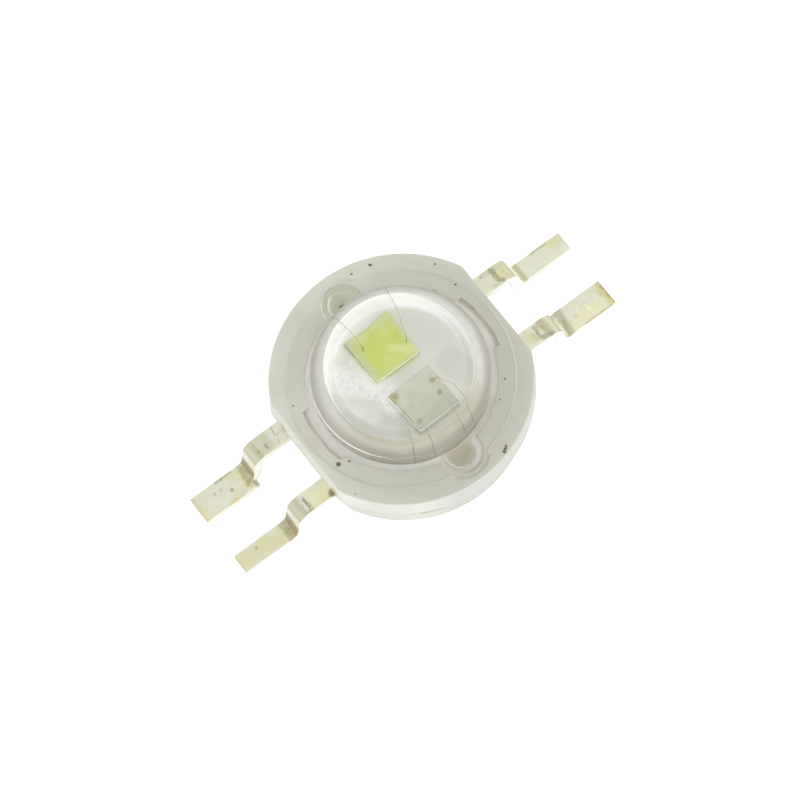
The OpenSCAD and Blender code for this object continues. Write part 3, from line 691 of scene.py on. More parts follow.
# %% Turn the slug
FLOOR_R, MOUTH_R, LIP_ROUND = 1.58, 1.76, 0.02
NECK_R, COLLAR_EDGE_R, NECK_TOP = 2.6, 2.75, 0.75
profile = [(0, 0), (SLUG_R - 0.04, 0), (SLUG_R - 0.01, 0.01), (SLUG_R, 0.04)]
profile += [(SLUG_R, SHOULDER_Z), (NECK_R, SHOULDER_Z), (NECK_R, NECK_TOP)]
profile += [(COLLAR_EDGE_R, NECK_TOP), (COLLAR_EDGE_R, POST_FOOT_Z), (POST_R, POST_FOOT_Z)]
profile += [(POST_R, CUP_TOP - LIP_ROUND)]
profile += arc((POST_R - LIP_ROUND, CUP_TOP - LIP_ROUND), LIP_ROUND, 0, 90, 3)
profile += arc((MOUTH_R + LIP_ROUND, CUP_TOP - LIP_ROUND), LIP_ROUND, 90, 155, 3)
profile += [(FLOOR_R + 0.022, CUP_FLOOR + 0.05), (FLOOR_R + 0.006, CUP_FLOOR + 0.015)]
profile += [(FLOOR_R - 0.008, CUP_FLOOR), (1.0, CUP_FLOOR), (0, CUP_FLOOR)]
slug = turned("silver_slug", profile, silver)
print("slug:", len(slug.data.polygons), "faces")

# %% [markdown]
# ## Tin plate
# The leads are stamped copper with a bright tin plate that has yellowed. The bends carry brown
# heat stains and the edges are worn to an olive line. Painted shade darkens the folds and the
# crests of the bends, and painted light makes the upright cut faces and risers pale and less
# metallic. Each patch is placed by its own centre in millimetres, and noise breaks up its edge.

# %% Stains, painted shade and painted light on the tin
tin, tree, shader = new_material("tin_plated_copper")
at = surface(tree)
yellow = patches(tree, at.place, [
    (-3.7, -1.35, 1.64, -4.4, -1.45, 1.64, 0.2), (-6.9, -1.1, 0.4, -5.5, -1.2, 0.4, 0.4),
    (-5.35, 1.3, 0.4, -5.35, 0.7, 0.4, 0.22), (-5.92, 0.61, 0.4, -6.12, 0.6, 0.4, 0.14),
    (-7.05, 1.4, 0.4, -7.05, 0.6, 0.4, 0.2), (6.9, 1.3, 0.4, 6.7, 1.4, 0.4, 0.3),
    (7.0, -0.7, 0.4, 6.95, -1.3, 0.4, 0.22), (4.0, -1.12, 1.64, 0.3), (4.5, 1.15, 1.64, 0.3)],
    ragged=0.4, full=1.25)
cream = patches(tree, at.place, [
    (5.6, -1.3, 0.4, 6.5, -1.2, 0.4, 0.34), (-3.8, -1.1, 1.64, -4.2, -1.2, 1.64, 0.3)],
    ragged=0.4, full=1.2)
warm = patches(tree, at.place, [
    (5.8, -1.04, 0.4, 0.1), (-5.95, 0.62, 0.4, 0.1), (6.86, -0.84, 0.4, 6.88, -1.0, 0.4, 0.1),
    (4.12, -1.1, 1.64, 4.16, -1.32, 1.64, 0.09), (4.44, -0.95, 1.64, 4.5, -1.25, 1.64, 0.13),
    (6.98, -0.6, 0.4, 6.96, -1.4, 0.4, 0.13), (-5.7, 0.56, 0.4, -6.1, 0.56, 0.4, 0.1)],
    wobble=0.06, blob=0.1, ragged=0.6, full=1.6)
dusky = patches(tree, at.place, [
    (-4.4, 1.35, 1.64, -4.4, 0.9, 1.64, 0.34), (4.2, 0.84, 1.64, 4.45, 0.84, 1.64, 0.14),
    (4.1, 1.36, 1.64, 4.75, 1.38, 1.6, 0.17)], blob=0.2, full=1.3)
# Olive: worn lines along feet and tips, and painted shade in the folds and on the bend crests.
olive = patches(tree, at.place, [
    (-5.27, 1.4, 0.41, -5.36, 0.8, 0.40, 0.12), (-5.3, -0.85, 0.40, -5.36, -1.42, 0.40, 0.16),
    (7.02, -0.75, 0.4, 7.04, -1.38, 0.4, 0.07), (-6.15, 1.45, 0.38, -5.6, 1.45, 0.38, 0.1),
    (5.3, 1.45, 0.42, 5.3, 0.8, 0.42, 0.16), (4.8, 1.45, 1.52, 4.74, 0.85, 1.56, 0.2),
    (-4.82, -1.45, 1.52, -4.76, -0.9, 1.56, 0.24), (-4.45, -1.44, 1.64, -4.7, -1.44, 1.6, 0.1),
    (-4.75, 1.4, 1.55, -4.72, 0.85, 1.55, 0.2), (4.62, -0.9, 1.62, 4.72, -1.4, 1.57, 0.3),
    (5.42, -0.6, 0.4, 5.34, -1.45, 0.4, 0.22), (6.0, 1.45, 0.4, 6.5, 1.45, 0.4, 0.08),
    (5.9, -1.45, 0.4, 6.9, -1.45, 0.4, 0.06)], wobble=0.08, blob=0.2, full=1.2)
burnt = patches(tree, at.place, [
    (-5.1, 1.42, 0.68, -5.12, 0.82, 0.6, 0.34), (-5.1, -0.85, 0.68, -5.14, -1.44, 0.6, 0.36)],
    wobble=0.05, blob=0.1, ragged=0.6, full=1.0)
# Painted shade in the fold where one foot starts.
fold_shade = patches(tree, at.place, [
    (5.4, -0.95, 0.42, 5.3, -1.42, 0.42, 0.09)], wobble=0.12, blob=0.2, full=1.5)
# Painted light: one riser painted white, a painted reflection.
painted_riser_light = patches(tree, at.place, [
    (5.03, 1.45, 0.95, 5.05, 0.8, 0.9, 0.52)], wobble=0.05, blob=0.2, ragged=0.2, full=0.4)
dark = patches(tree, at.place, [(-3.64, -1.38, 1.62, 0.19)], wobble=0.03, blob=0.1, ragged=0.4)
speckled = patches(tree, at.place, [
    (4.40, 1.34, 1.64, 4.40, 1.05, 1.64, 0.13), (4.40, 1.0, 1.64, 4.55, 0.88, 1.64, 0.1),
    (4.31, -0.92, 1.64, 4.27, -1.28, 1.64, 0.09), (4.34, -1.34, 1.64, 4.6, -1.4, 1.62, 0.13),
    (-4.5, -1.0, 1.64, -4.45, -1.3, 1.64, 0.08), (-3.63, -1.36, 1.64, -3.72, -1.42, 1.64, 0.11),
    (-5.87, 0.93, 0.4, 0.09), (-6.14, 1.14, 0.4, 0.05), (-6.36, 1.15, 0.4, 0.06),
    (-6.38, -1.0, 0.4, 0.08), (4.0, 1.35, 1.64, 0.05), (-5.95, 1.42, 0.4, 0.07)],
    wobble=0.06, blob=0.045, ragged=1.3, full=1.6)
scratch = patches(tree, at.place, [
    (-3.92, 1.46, 1.64, -3.97, 1.16, 1.64, 0.022), (-3.97, 1.16, 1.64, -3.72, 1.13, 1.64, 0.015),
    (-3.96, 0.99, 1.64, -4.0, 0.82, 1.64, 0.02), (-4.38, 1.09, 1.64, -4.37, 0.95, 1.64, 0.05),
    (-4.66, 1.02, 1.62, 0.05), (-4.47, -0.95, 1.64, -4.52, -1.44, 1.64, 0.025),
    (-4.61, -1.06, 1.62, -4.66, -1.4, 1.62, 0.02)], wobble=0.03, blob=0.1, ragged=0.3)
scored = patches(tree, at.place, [
    (6.27, -0.94, 0.4, 6.29, -1.21, 0.4, 0.02), (6.65, -0.8, 0.4, 6.68, -0.98, 0.4, 0.015),
    (5.93, -1.0, 0.4, 6.03, -0.83, 0.4, 0.02)], wobble=0.02, blob=0.1, ragged=0.2)
print("stains on the tin:", len(tree.nodes), "nodes")

# %% Tin plate
cloud = add(tree, NOISE, {"Vector": at.place, "Scale": 1 / 0.45, "Detail": 3.0, "Roughness": 0.6})
rolled = add(tree, MAPPING, {"Vector": at.place, "Scale": (0.25, 3.0, 3.0)})
lines = add(tree, NOISE, {"Vector": rolled, "Scale": 1 / 0.12, "Detail": 3.0, "Roughness": 0.6})
along_y = add(tree, MATH, {0: at.facing[1]}, operation="ABSOLUTE")
# Worn olive lines on the bevels and painted shade on the curved faces of the bends, stronger above.
wear_and_shade_share = add(tree, RANGE, {0: at.z, 1: 0.9, 2: 1.1, 3: 0.6, 4: 0.85}, interpolation_type="SMOOTHSTEP")
worn_edge_and_crest_shade = where(tree, (at.level, 0.3, 0.45), (at.level, 0.99, 0.7), wear_and_shade_share)
# Painted light: upright faces painted pale, the sides fully and the risers in part.
upright = where(tree, (at.level, 0.35, 0.15))
painted_pale_sides = where(tree, upright, (along_y, 0.3, 0.6, 0.55))
band = where(tree, burnt, 0.85, (along_y, 0.6, 0.3))
tone = paint(tree, linear("#F0F1E1"), [
    # Cloudy tin with rolling lines, and what has yellowed or browned on it; greyer patches on the
    # shoulders near the bends; olive worn lines, and olive painted shade in folds and on crests.
    ("#E6E7CC", (cloud, 0.35, 0.65)),
    ("#CFCEAE", (lines, 0.45, 0.75), 0.3),
    ("#E3DAA0", yellow, 0.5),
    ("#F3EFC6", cream, 0.7),
    ("#D2C47C", warm, 0.6),
    ("#C5C8A6", dusky, 0.6),
    ("#A9A576", olive, 0.6),
    # Worn olive lines on the bevels and painted shade on the bend crests; painted light on
    # the cut faces and uprights.
    ("#B2B199", worn_edge_and_crest_shade),
    ("#FFFFFC", painted_pale_sides),
    ("#F1F1EA", upright, (along_y, 0.6, 0.8)),
    # Burnt bands, painted shade in the fold of one foot, painted light on one riser, specks and
    # scratches, and the clean finger inside the body.
    ("#8C7C5C", band),
    ("#8C8262", fold_shade, 0.4),
    ("#FFFFFF", painted_riser_light),
    ("#8A8474", dark, 0.7),
    ("#7E6F4A", speckled, 0.75),
    ("#F4F3EA", (at.reach, 2.7, 2.62)),
    ("#8C8468", scratch, 0.5),
    ("#FFFFFF", scored, 0.8)])
satin = add(tree, RANGE, {0: cloud, 1: 0.3, 2: 0.7, 3: 0.30, 4: 0.46}, interpolation_type="SMOOTHSTEP")
# The tin is less metallic where painted light and shade, worn edges and burnt bands lie.
dull = painted_pale_sides
for mask in (where(tree, worn_edge_and_crest_shade, 0.8), band, painted_riser_light):
    dull = add(tree, MATH, {0: dull, 1: mask}, operation="MAXIMUM")
bright = add(tree, MATH, {0: 1.0, 1: dull}, operation="SUBTRACT")
rolled_relief = add(tree, BUMP, {"Height": lines, "Distance": 0.006 * MM, "Strength": 0.6})
feed(tree, shader, {
    "Base Color": tone, "Roughness": satin, "Metallic": bright, "Normal": rolled_relief})
print("tin:", len(tree.nodes), "nodes")

# %% [markdown]
# ## Leads
# A lead is sheet metal, so it is made as a sheet metal worker makes it: first a flat pattern
# with rounded edges, then the two folds. The pattern holds the bond finger inside the body, the
# bar and the solder foot. Folding is a map from the distance along the strip to a place on its
# centre line.

# %% Fold a flat pattern
THICK, TOP_Z, FOOT_Z, TIP_X = 0.3, 1.64, 0.4, 7.07
BEND_X, ANGLE, R_UP, R_LOW = 4.55, math.radians(80), 0.3, 0.35
OUT_Y, BAR_W, WIDE_W = 1.473, 0.68, 0.93
FINGER_IN, FINGER_OUT, FINGER_END_DEG = 1.98, 2.62, 83
STEP_BACK, STEP_OUT_R, STEP_IN_R, TIP_ROUND, EDGE_SOFT = 0.19, 0.05, 0.1, 0.02, 0.028
mid_high, mid_low = TOP_Z - THICK / 2, FOOT_Z - THICK / 2
fall = mid_high - mid_low - (R_UP + R_LOW) * (1 - math.cos(ANGLE))
riser = fall / math.sin(ANGLE)
marks = [BEND_X, BEND_X + R_UP * ANGLE]
marks += [marks[1] + riser, marks[1] + riser + R_LOW * ANGLE]
riser_x, riser_z = BEND_X + R_UP * math.sin(ANGLE), mid_high - R_UP * (1 - math.cos(ANGLE))
foot_x = riser_x + riser * math.cos(ANGLE) + R_LOW * math.sin(ANGLE)
tip_s = marks[3] + TIP_X - foot_x
FOLD_STEPS = 10
CUTS = [3.8, 4.2] + [marks[3] + step for step in (0.4, 0.9, 1.3)]
for start, end in (marks[:2], marks[2:]):
    CUTS += [start + (end - start) * i / FOLD_STEPS for i in range(FOLD_STEPS + 1)]


def folded(s, n):
    """Where a point of the strip goes: s along it, n above its middle."""
    if s <= marks[0]:
        return s, mid_high + n
    if s <= marks[1]:
        a = (s - marks[0]) / R_UP
        return BEND_X + (R_UP + n) * math.sin(a), mid_high - R_UP + (R_UP + n) * math.cos(a)
    if s <= marks[2]:
        d = s - marks[1]
        return (riser_x + d * math.cos(ANGLE) + n * math.sin(ANGLE),
                riser_z - d * math.sin(ANGLE) + n * math.cos(ANGLE))
    if s <= marks[3]:
        a = ANGLE - (s - marks[2]) / R_LOW
        return foot_x - (R_LOW - n) * math.sin(a), mid_low + R_LOW - (R_LOW - n) * math.cos(a)
    return foot_x + s - marks[3], mid_low + n


print("length of the flat strip:", round(tip_s, 2), "mm")


# %% Flat pattern
def pattern(foot_w):
    """The flat outline of a lead: finger, bar, step and foot."""
    in_y, foot_y = OUT_Y - BAR_W, OUT_Y - foot_w
    step_s = marks[3] - STEP_BACK
    root = math.degrees(math.asin(in_y / FINGER_IN))
    leave = math.degrees(math.asin(OUT_Y / FINGER_OUT))
    points = [(FINGER_IN * math.cos(math.radians(root)), in_y)]
    if foot_w > BAR_W:
        points += arc((step_s - STEP_OUT_R, in_y - STEP_OUT_R), STEP_OUT_R, 90, 0, 4)
        points += arc((step_s + STEP_IN_R, foot_y + STEP_IN_R), STEP_IN_R, 180, 270, 5)
    points += arc((tip_s - TIP_ROUND, foot_y + TIP_ROUND), TIP_ROUND, 270, 360, 3)
    points += arc((tip_s - TIP_ROUND, OUT_Y - TIP_ROUND), TIP_ROUND, 0, 90, 3)
    points += arc((0, 0), FINGER_OUT, leave, FINGER_END_DEG, 14)
    points += arc((0, 0), FINGER_IN, FINGER_END_DEG, root, 18)[:-1]
    return points


print("corners of the patterns:", len(pattern(BAR_W)), len(pattern(WIDE_W)))


# %% Four leads
def lead(name, foot_w, side_x, side_y):
    """A folded lead on the given side of the body."""
    work = bmesh.new()
    corners = [work.verts.new((s, y, -THICK / 2)) for s, y in pattern(foot_w)]
    flat = work.faces.new(corners)
    grown = bmesh.ops.extrude_face_region(work, geom=[flat])
    lifted = [v for v in grown["geom"] if isinstance(v, bmesh.types.BMVert)]
    bmesh.ops.translate(work, verts=lifted, vec=(0, 0, THICK))
    level = [e for e in work.edges if abs(e.verts[0].co.z - e.verts[1].co.z) < 1e-6]
    bmesh.ops.bevel(work, geom=level, offset=EDGE_SOFT, segments=3, profile=0.6, affect="EDGES")
    for s in CUTS:
        everything = list(work.verts) + list(work.edges) + list(work.faces)
        bmesh.ops.bisect_plane(work, geom=everything, plane_co=(s, 0, 0), plane_no=(1, 0, 0), dist=1e-6)
    for v in work.verts:
        x, z = folded(v.co.x, v.co.z)
        v.co = Vector((side_x * x, side_y * v.co.y, z)) * MM
    mesh = bpy.data.meshes.new(name)
    work.to_mesh(mesh)
    work.free()
    return finish_piece(name, mesh, tin, 40)


LEADS = {
    "lead_left_wide": (WIDE_W, -1, 1), "lead_left_narrow": (BAR_W, -1, -1),
    "lead_right_narrow": (BAR_W, 1, 1), "lead_right_wide": (WIDE_W, 1, -1)}
leads = {node: lead("tin_" + node, *shape) for node, shape in LEADS.items()}
print("leads:", [len(made.data.polygons) for made in leads.values()])

# %% [markdown]
# ## Chips
# Each chip is a slab of semiconductor about a millimetre square. The bare one is a faintly green
# translucent grey with small bonding pads. The other wears a resin coat filled with yellow
# green phosphor, thin and dark at its edges and worn through along one of them. Painted light
# makes the upright sides of both chips near white, the coat's sides paler and one corner of
# the coat lighter.

# %% Chip material
WHITE_AT, CLEAR_AT = (0.08, 0.75), (0.08, -0.75)
CHIP_LOW, CHIP_TOP, COAT_LOW, COAT_TOP = 2.52, 2.67, 2.505, 2.72
chip_skin, tree, shader = new_material("passivated_chip", Roughness=0.22, IOR=1.6, Coat_Weight=0.3)
at = surface(tree)
cloud = add(tree, NOISE, {"Vector": at.place, "Scale": 1 / 0.5, "Detail": 3.0})
olive = patches(tree, at.place, [
    (-0.44, -0.24, CHIP_TOP, -0.5, -0.42, CHIP_TOP, 0.09),
    (-0.47, -0.7, CHIP_TOP, -0.5, -1.05, CHIP_TOP, 0.06)], wobble=0.03, blob=0.12)
worn = patches(tree, at.place, [
    (-0.2, 1.22, CHIP_TOP, 0.35, 1.22, CHIP_TOP, 0.12)], wobble=0.05, blob=0.15)
feed(tree, shader, {"Base Color": paint(tree, linear("#BBBFA6"), [
    ("#C6C9B6", (cloud, 0.35, 0.65)),
    ("#A3A860", olive, 0.65),
    ("#D5DDA6", worn),
    # Painted light: the upright sides of both chips painted near white.
    ("#FAFBF0", (at.z, CHIP_TOP - 0.01, CHIP_TOP - 0.03))])})
print("chip skin:", len(tree.nodes), "nodes")

# %% Phosphor and pad materials
phosphor, tree, shader = new_material("phosphor_in_resin", Roughness=0.5, IOR=1.45)
at = surface(tree)
cloud = add(tree, NOISE, {"Vector": at.place, "Scale": 1 / 0.35, "Detail": 3.0, "Roughness": 0.55})
grit = add(tree, NOISE, {"Vector": at.place, "Scale": 1 / 0.05})
from_x, from_y = (
    add(tree, MATH, {0: value, 1: centre}, operation="SUBTRACT")
    for value, centre in zip((at.x, at.y), WHITE_AT))
out_x, out_y = (add(tree, MATH, {0: value}, operation="ABSOLUTE") for value in (from_x, from_y))
edge = add(tree, MATH, {0: out_x, 1: out_y}, operation="MAXIMUM")
# Painted light: a glow painted lighter across the coat toward one corner.
glow = patches(tree, at.place, [
    (0.2, 0.62, COAT_TOP, 0.62, 0.24, COAT_TOP, 0.12)], wobble=0.08, blob=0.15, ragged=0.6, full=1.7)
tone = paint(tree, linear("#C3D068"), [
    ("#CAD47E", (cloud, 0.35, 0.7)),
    ("#C4CD92", (edge, 0.46, 0.56), 0.7),
    ("#C6CC9C", (from_x, -0.37, -0.49), 0.6),
    ("#D0D6AA", (from_x, 0.42, 0.5), 0.6),
    ("#D0D6AC", (from_y, 0.30, 0.47), 0.5),
    # Painted light: the coat's upright sides painted paler.
    ("#DEE4B8", (at.level, 0.6, 0.3)),
    ("#E2E8B4", glow, 0.5)])
grit_relief = add(tree, BUMP, {"Height": grit, "Distance": 0.006 * MM, "Strength": 0.7})
feed(tree, shader, {"Base Color": tone, "Normal": grit_relief})

gilt, _, _ = new_material("gilded_pad", Metallic=1.0, Roughness=0.4, Base_Color=linear("#BDB693"))
print("phosphor:", len(tree.nodes), "nodes; pads:", gilt.name)

# %% Build the chips
def slab(name, centre, size, low, high, material, turn_deg=0.0, soft=0.012, outline=None):
    """A slab with softened edges; outline replaces its square in plan."""
    half = size / 2
    plan = outline or [(-half, -half), (half, -half), (half, half), (-half, half)]
    work = bmesh.new()
    flat = work.faces.new([work.verts.new((x, y, low)) for x, y in plan])
    grown = bmesh.ops.extrude_face_region(work, geom=[flat])
    lifted = [v for v in grown["geom"] if isinstance(v, bmesh.types.BMVert)]
    bmesh.ops.translate(work, verts=lifted, vec=(0, 0, high - low))
    bmesh.ops.bevel(work, geom=list(work.edges), offset=soft, segments=2, affect="EDGES")
    spin = Matrix.Rotation(math.radians(turn_deg), 4, "Z")
    for v in work.verts:
        v.co = (spin @ v.co + Vector((centre[0], centre[1], 0))) * MM
    mesh = bpy.data.meshes.new(name)
    work.to_mesh(mesh)
    work.free()
    return finish_piece(name, mesh, material)


WHITE_SIZE, CLEAR_SIZE, COAT_SIZE, CLEAR_TURN_DEG = 1.02, 1.14, 1.10, 3
COAT_HALF = COAT_SIZE / 2
white_chip = slab("coated_chip", WHITE_AT, WHITE_SIZE, CHIP_LOW, CHIP_TOP, chip_skin)
clear_chip = slab("bare_chip", CLEAR_AT, CLEAR_SIZE, CHIP_LOW, CHIP_TOP, chip_skin, CLEAR_TURN_DEG)
ragged_edge = [
    (0.33, COAT_HALF), (0.30, 0.53), (0.24, 0.525), (0.10, 0.515), (0.02, 0.47), (-0.06, 0.475),
    (-0.14, 0.485), (-0.22, 0.525), (-0.31, 0.515), (-0.40, 0.545)]
coat_plan = [(-COAT_HALF, -COAT_HALF), (COAT_HALF, -COAT_HALF), (COAT_HALF, COAT_HALF)]
coat_plan += ragged_edge + [(-COAT_HALF, COAT_HALF)]
coat = slab("phosphor_layer", WHITE_AT, COAT_SIZE, COAT_LOW, COAT_TOP, phosphor, 0, 0.015, coat_plan)
print("chips:", white_chip.name, clear_chip.name, coat.name)

# %% [markdown]
# ## Bond wires
# Wires thinner than a hair run from the chips over the rim of the cup to the fingers. A wire
# follows a path, so a Geometry Nodes tree makes it: the path's corners are filleted, a circle is
# swept along it, and a flattened ball sits where the wire was welded to the chip.

# %% A tree that sweeps a wire
wire_metal, _, _ = new_material(
    "drawn_gold_wire", Metallic=1.0, Roughness=0.3, Base_Color=linear("#B3AD90"))

sweep, entry = new_tree("swept_wire", [
    ("Wire Radius", "Float", 0.02 * MM), ("Bend Radius", "Float", 0.2 * MM),
    ("Ball Radius", "Float", 0.05 * MM), ("Material", "Material", None)])
path = add(sweep, "GeometryNodeMeshToCurve", {"Mesh": entry.outputs["Geometry"]})
soft = add(sweep, "GeometryNodeFilletCurve", {
    "Curve": path, "Radius": entry.outputs["Bend Radius"], "Limit Radius": True, "Count": 8}, mode="POLY")
section = add(sweep, "GeometryNodeCurvePrimitiveCircle", {
    "Resolution": 12, "Radius": entry.outputs["Wire Radius"]})
tube = add(sweep, "GeometryNodeCurveToMesh", {"Curve": soft, "Profile Curve": section, "Fill Caps": True})
ends = add(sweep, "GeometryNodeCurveEndpointSelection", {"Start Size": 1, "End Size": 1})
ball = add(sweep, "GeometryNodeMeshUVSphere", {
    "Segments": 16, "Rings": 8, "Radius": entry.outputs["Ball Radius"]})
flat_ball = add(sweep, "GeometryNodeTransform", {"Geometry": ball, "Scale": (1.0, 1.0, 0.45)})
welds = add(sweep, "GeometryNodeInstanceOnPoints", {
    "Points": path, "Selection": ends, "Instance": flat_ball})
both = add(sweep, "GeometryNodeJoinGeometry", {0: tube})
feed(sweep, both, {0: welds})
close_tree(sweep, both, entry.outputs["Material"])


def swept(name, path_points, thickness, material):
    """Sweeps a wire of a thickness along a path. thickness holds the radii of wire, bend and ball."""
    wire_radius, bend_radius, ball_radius = thickness
    guide = bpy.data.meshes.new(name + "_path")
    links = [(i, i + 1) for i in range(len(path_points) - 1)]
    guide.from_pydata([[c * MM for c in p] for p in path_points], links, [])
    return run_tree(name, guide, sweep, {
        "Wire Radius": wire_radius * MM, "Bend Radius": bend_radius * MM,
        "Ball Radius": ball_radius * MM, "Material": material})


print("sweep tree:", len(sweep.nodes), "nodes")

# %% Six wires
WIRE_SIZES, PAD_Z, FINGER_Z = (0.009, 0.12, 0.034), 2.68, 1.655
WIRES = {
    "white_wire_left": [
        (-0.30, 0.91, PAD_Z), (-0.31, 1.0, 2.98), (-0.33, 1.45, 3.04), (-0.40, 2.02, 2.98),
        (-0.46, 2.14, 1.66), (-0.5, 2.18, FINGER_Z)],
    "white_wire_right": [
        (0.52, 0.49, PAD_Z), (0.59, 0.59, 2.98), (0.79, 1.16, 3.04), (0.94, 1.83, 2.98),
        (0.99, 1.98, 1.66), (1.0, 2.01, FINGER_Z)],
    "clear_wire_long": [
        (-0.37, -0.31, PAD_Z), (-0.44, -0.45, 2.95), (-0.66, -1.15, 3.02), (-0.95, -1.80, 2.98),
        (-1.03, -1.95, 1.66), (-1.05, -1.98, FINGER_Z)],
    "clear_wire_left": [
        (-0.33, -1.15, PAD_Z), (-0.35, -1.25, 2.95), (-0.40, -1.6, 3.02), (-0.49, -2.02, 2.96),
        (-0.53, -2.14, 1.66), (-0.54, -2.17, FINGER_Z)],
    "clear_wire_slack": [
        (0.48, -0.50, PAD_Z), (0.60, -0.62, 2.92), (0.80, -1.05, 3.04), (0.86, -1.5, 3.05),
        (0.78, -1.95, 2.98), (0.73, -2.08, 1.66), (0.73, -2.12, FINGER_Z)],
    "clear_wire_right": [
        (0.45, -0.84, PAD_Z), (0.46, -0.95, 2.95), (0.46, -1.4, 3.03), (0.44, -2.05, 2.98),
        (0.43, -2.17, 1.66), (0.43, -2.2, FINGER_Z)],
}
wires = {node: swept("gold_" + node, route, WIRE_SIZES, wire_metal) for node, route in WIRES.items()}
print("wires:", {node: len(made.data.polygons) for node, made in wires.items()})

# %% [markdown]
# ## Dirt
# Dark specks lie on the rim and the flange. Each is a grain a few hundredths of a
# millimetre across, so a Geometry Nodes tree puts a small uneven stone on each marked point and
# turns it at random from a fixed seed.

# %% A tree that scatters grains
soot, tree, shader = new_material("dust_grain", Roughness=0.8)
at = surface(tree)
shade = add(tree, NOISE, {"Vector": at.place, "Scale": 1 / 0.1})
feed(tree, shader, {"Base Color": add(tree, MIX, {
    "Factor": shade, "A": linear("#35322A"), "B": linear("#8A8472")}, data_type="RGBA")})

scatter, entry = new_tree("scattered_grains", [
    ("Seed", "Int", 7), ("Material", "Material", None)])
stone = add(scatter, "GeometryNodeMeshIcoSphere", {"Radius": 1.0, "Subdivisions": 2})
size = add(scatter, "GeometryNodeInputNamedAttribute", {"Name": "size"}, data_type="FLOAT")
stretch = add(scatter, "FunctionNodeRandomValue", {
    "Min": (0.6, 0.6, 0.25), "Max": (1.3, 1.0, 0.45), "Seed": entry.outputs["Seed"]},
    data_type="FLOAT_VECTOR")
scaled = add(scatter, VECTOR, {0: stretch, 3: size}, operation="SCALE")
heading = add(scatter, "FunctionNodeRandomValue", {
    "Min": (-0.2, -0.2, 0.0), "Max": (0.2, 0.2, 6.28), "Seed": entry.outputs["Seed"]},
    data_type="FLOAT_VECTOR")
grains = add(scatter, "GeometryNodeInstanceOnPoints", {
    "Points": entry.outputs["Geometry"], "Instance": stone, "Rotation": heading, "Scale": scaled})
close_tree(scatter, grains, entry.outputs["Material"])
print("scatter tree:", len(scatter.nodes), "nodes")

# %% Grains on the body
GRAINS = [
    (-3.11, -1.02, 2.47, 0.085), (-2.80, -1.14, 2.47, 0.04), (-0.07, 2.95, 2.45, 0.055),
    (0.03, 2.93, 2.45, 0.05), (1.43, 3.47, 2.535, 0.05), (0.81, 3.58, 2.535, 0.035),
    (3.10, 1.39, 2.47, 0.04), (3.00, 2.28, 2.535, 0.035), (2.44, -1.93, 2.47, 0.04),
    (1.92, -2.36, 2.47, 0.035), (-3.09, 1.29, 2.47, 0.035), (-3.28, -2.10, 2.53, 0.03),
    (1.02, -3.76, 2.53, 0.06), (1.09, -3.71, 2.53, 0.06), (1.17, -3.65, 2.53, 0.045),
    (-1.40, -3.75, 1.62, 0.035)]
guide = bpy.data.meshes.new("grain_places")
guide.from_pydata([[c * MM for c in grain[:3]] for grain in GRAINS], [], [])
sizes = guide.attributes.new("size", "FLOAT", "POINT")
for row, grain in zip(sizes.data, GRAINS):
    row.value = grain[3] * MM
dust = run_tree("dust_grains", guide, scatter, {"Seed": 7, "Material": soot})

HAIR = [(2.48, 1.69, 2.462), (2.53, 1.41, 2.462), (2.66, 1.23, 2.464), (2.59, 1.04, 2.466)]
HAIR_SIZES = (0.008, 0.1, 0.012)
hair = swept("fine_hair", HAIR, HAIR_SIZES, soot)
print("grains:", len(GRAINS), "and one hair")

# %% [markdown]
# ## Tie the pieces to the frame
# Every piece rides on the one body of this part, takes the place of its CAD nodes and names
# the material slot that it stands for. The thin bond layers stay as CAD nodes with a metal finish.

# %% Ride, replace, slot
PIECES = [
    (body, ["housing"], "body_plastic"),
    (lens, ["lens", "encapsulant", "lens_adhesive"], "lens_clear"),
    (slug, ["heat_slug"], "slug_silver"),
    (white_chip, ["white_die"], "chip"),
    (clear_chip, ["clear_die"], "chip"),
    (coat, ["phosphor_coat"], "phosphor"),
    (dust, [], "lead_plate"),
    (hair, [], "lead_plate")]
PIECES += [(made, [node], "lead_plate") for node, made in leads.items()]
PIECES += [(made, [node], "bond_wire") for node, made in wires.items()]
for made, nodes, slot in PIECES:
    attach(made, "root")
    if nodes:
        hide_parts(*nodes)
FINISH = {
    "white_die_attach": silver, "clear_die_attach": silver,
    "white_die_pads": gilt, "clear_die_pads": gilt}
for node, material in FINISH.items():
    frame["nodes"][node].data.materials.clear()
    frame["nodes"][node].data.materials.append(material)
print(len(PIECES), "pieces")

# %% [markdown]
# ## Stage
# The part lies on a white table under a soft white tent. Near the horizon the tent is bright
# and overhead it is dimmer, so level faces are a calm grey and upright ones nearly white. Two
# broad soft boxes stand by the camera and to its right; the cup wall does not mirror them but
# is painted flat white, a painted reflection. The table shows white to the eye but keeps its
# ordinary colour as a light, and keeps the shadow.

# %% Table
TABLE_HALF, TABLE_COLOUR = 0.6, (0.82, 0.82, 0.81, 1.0)
table_white, tree, shader = new_material("table_white", Roughness=0.9, Base_Color=TABLE_COLOUR)
seen = add(tree, "ShaderNodeLightPath").outputs["Is Camera Ray"]
glow = add(tree, "ShaderNodeEmission", {"Color": linear("#FFFFFF"), "Strength": where(tree, seen, 0.5)})
mixed = add(tree, "ShaderNodeAddShader", {0: shader, 1: glow})
feed(tree, tree.nodes["Material Output"], {"Surface": mixed})
table = bpy.data.meshes.new("table")
corners = [(TABLE_HALF * x, TABLE_HALF * y, 0) for x, y in ((-1, -1), (1, -1), (1, 1), (-1, 1))]
table.from_pydata(corners, [], [(0, 1, 2, 3)])
table.materials.append(table_white)
floor = bpy.data.objects.new("table", table)
bpy.context.scene.collection.objects.link(floor)
print("table:", 2 * TABLE_HALF, "m across")

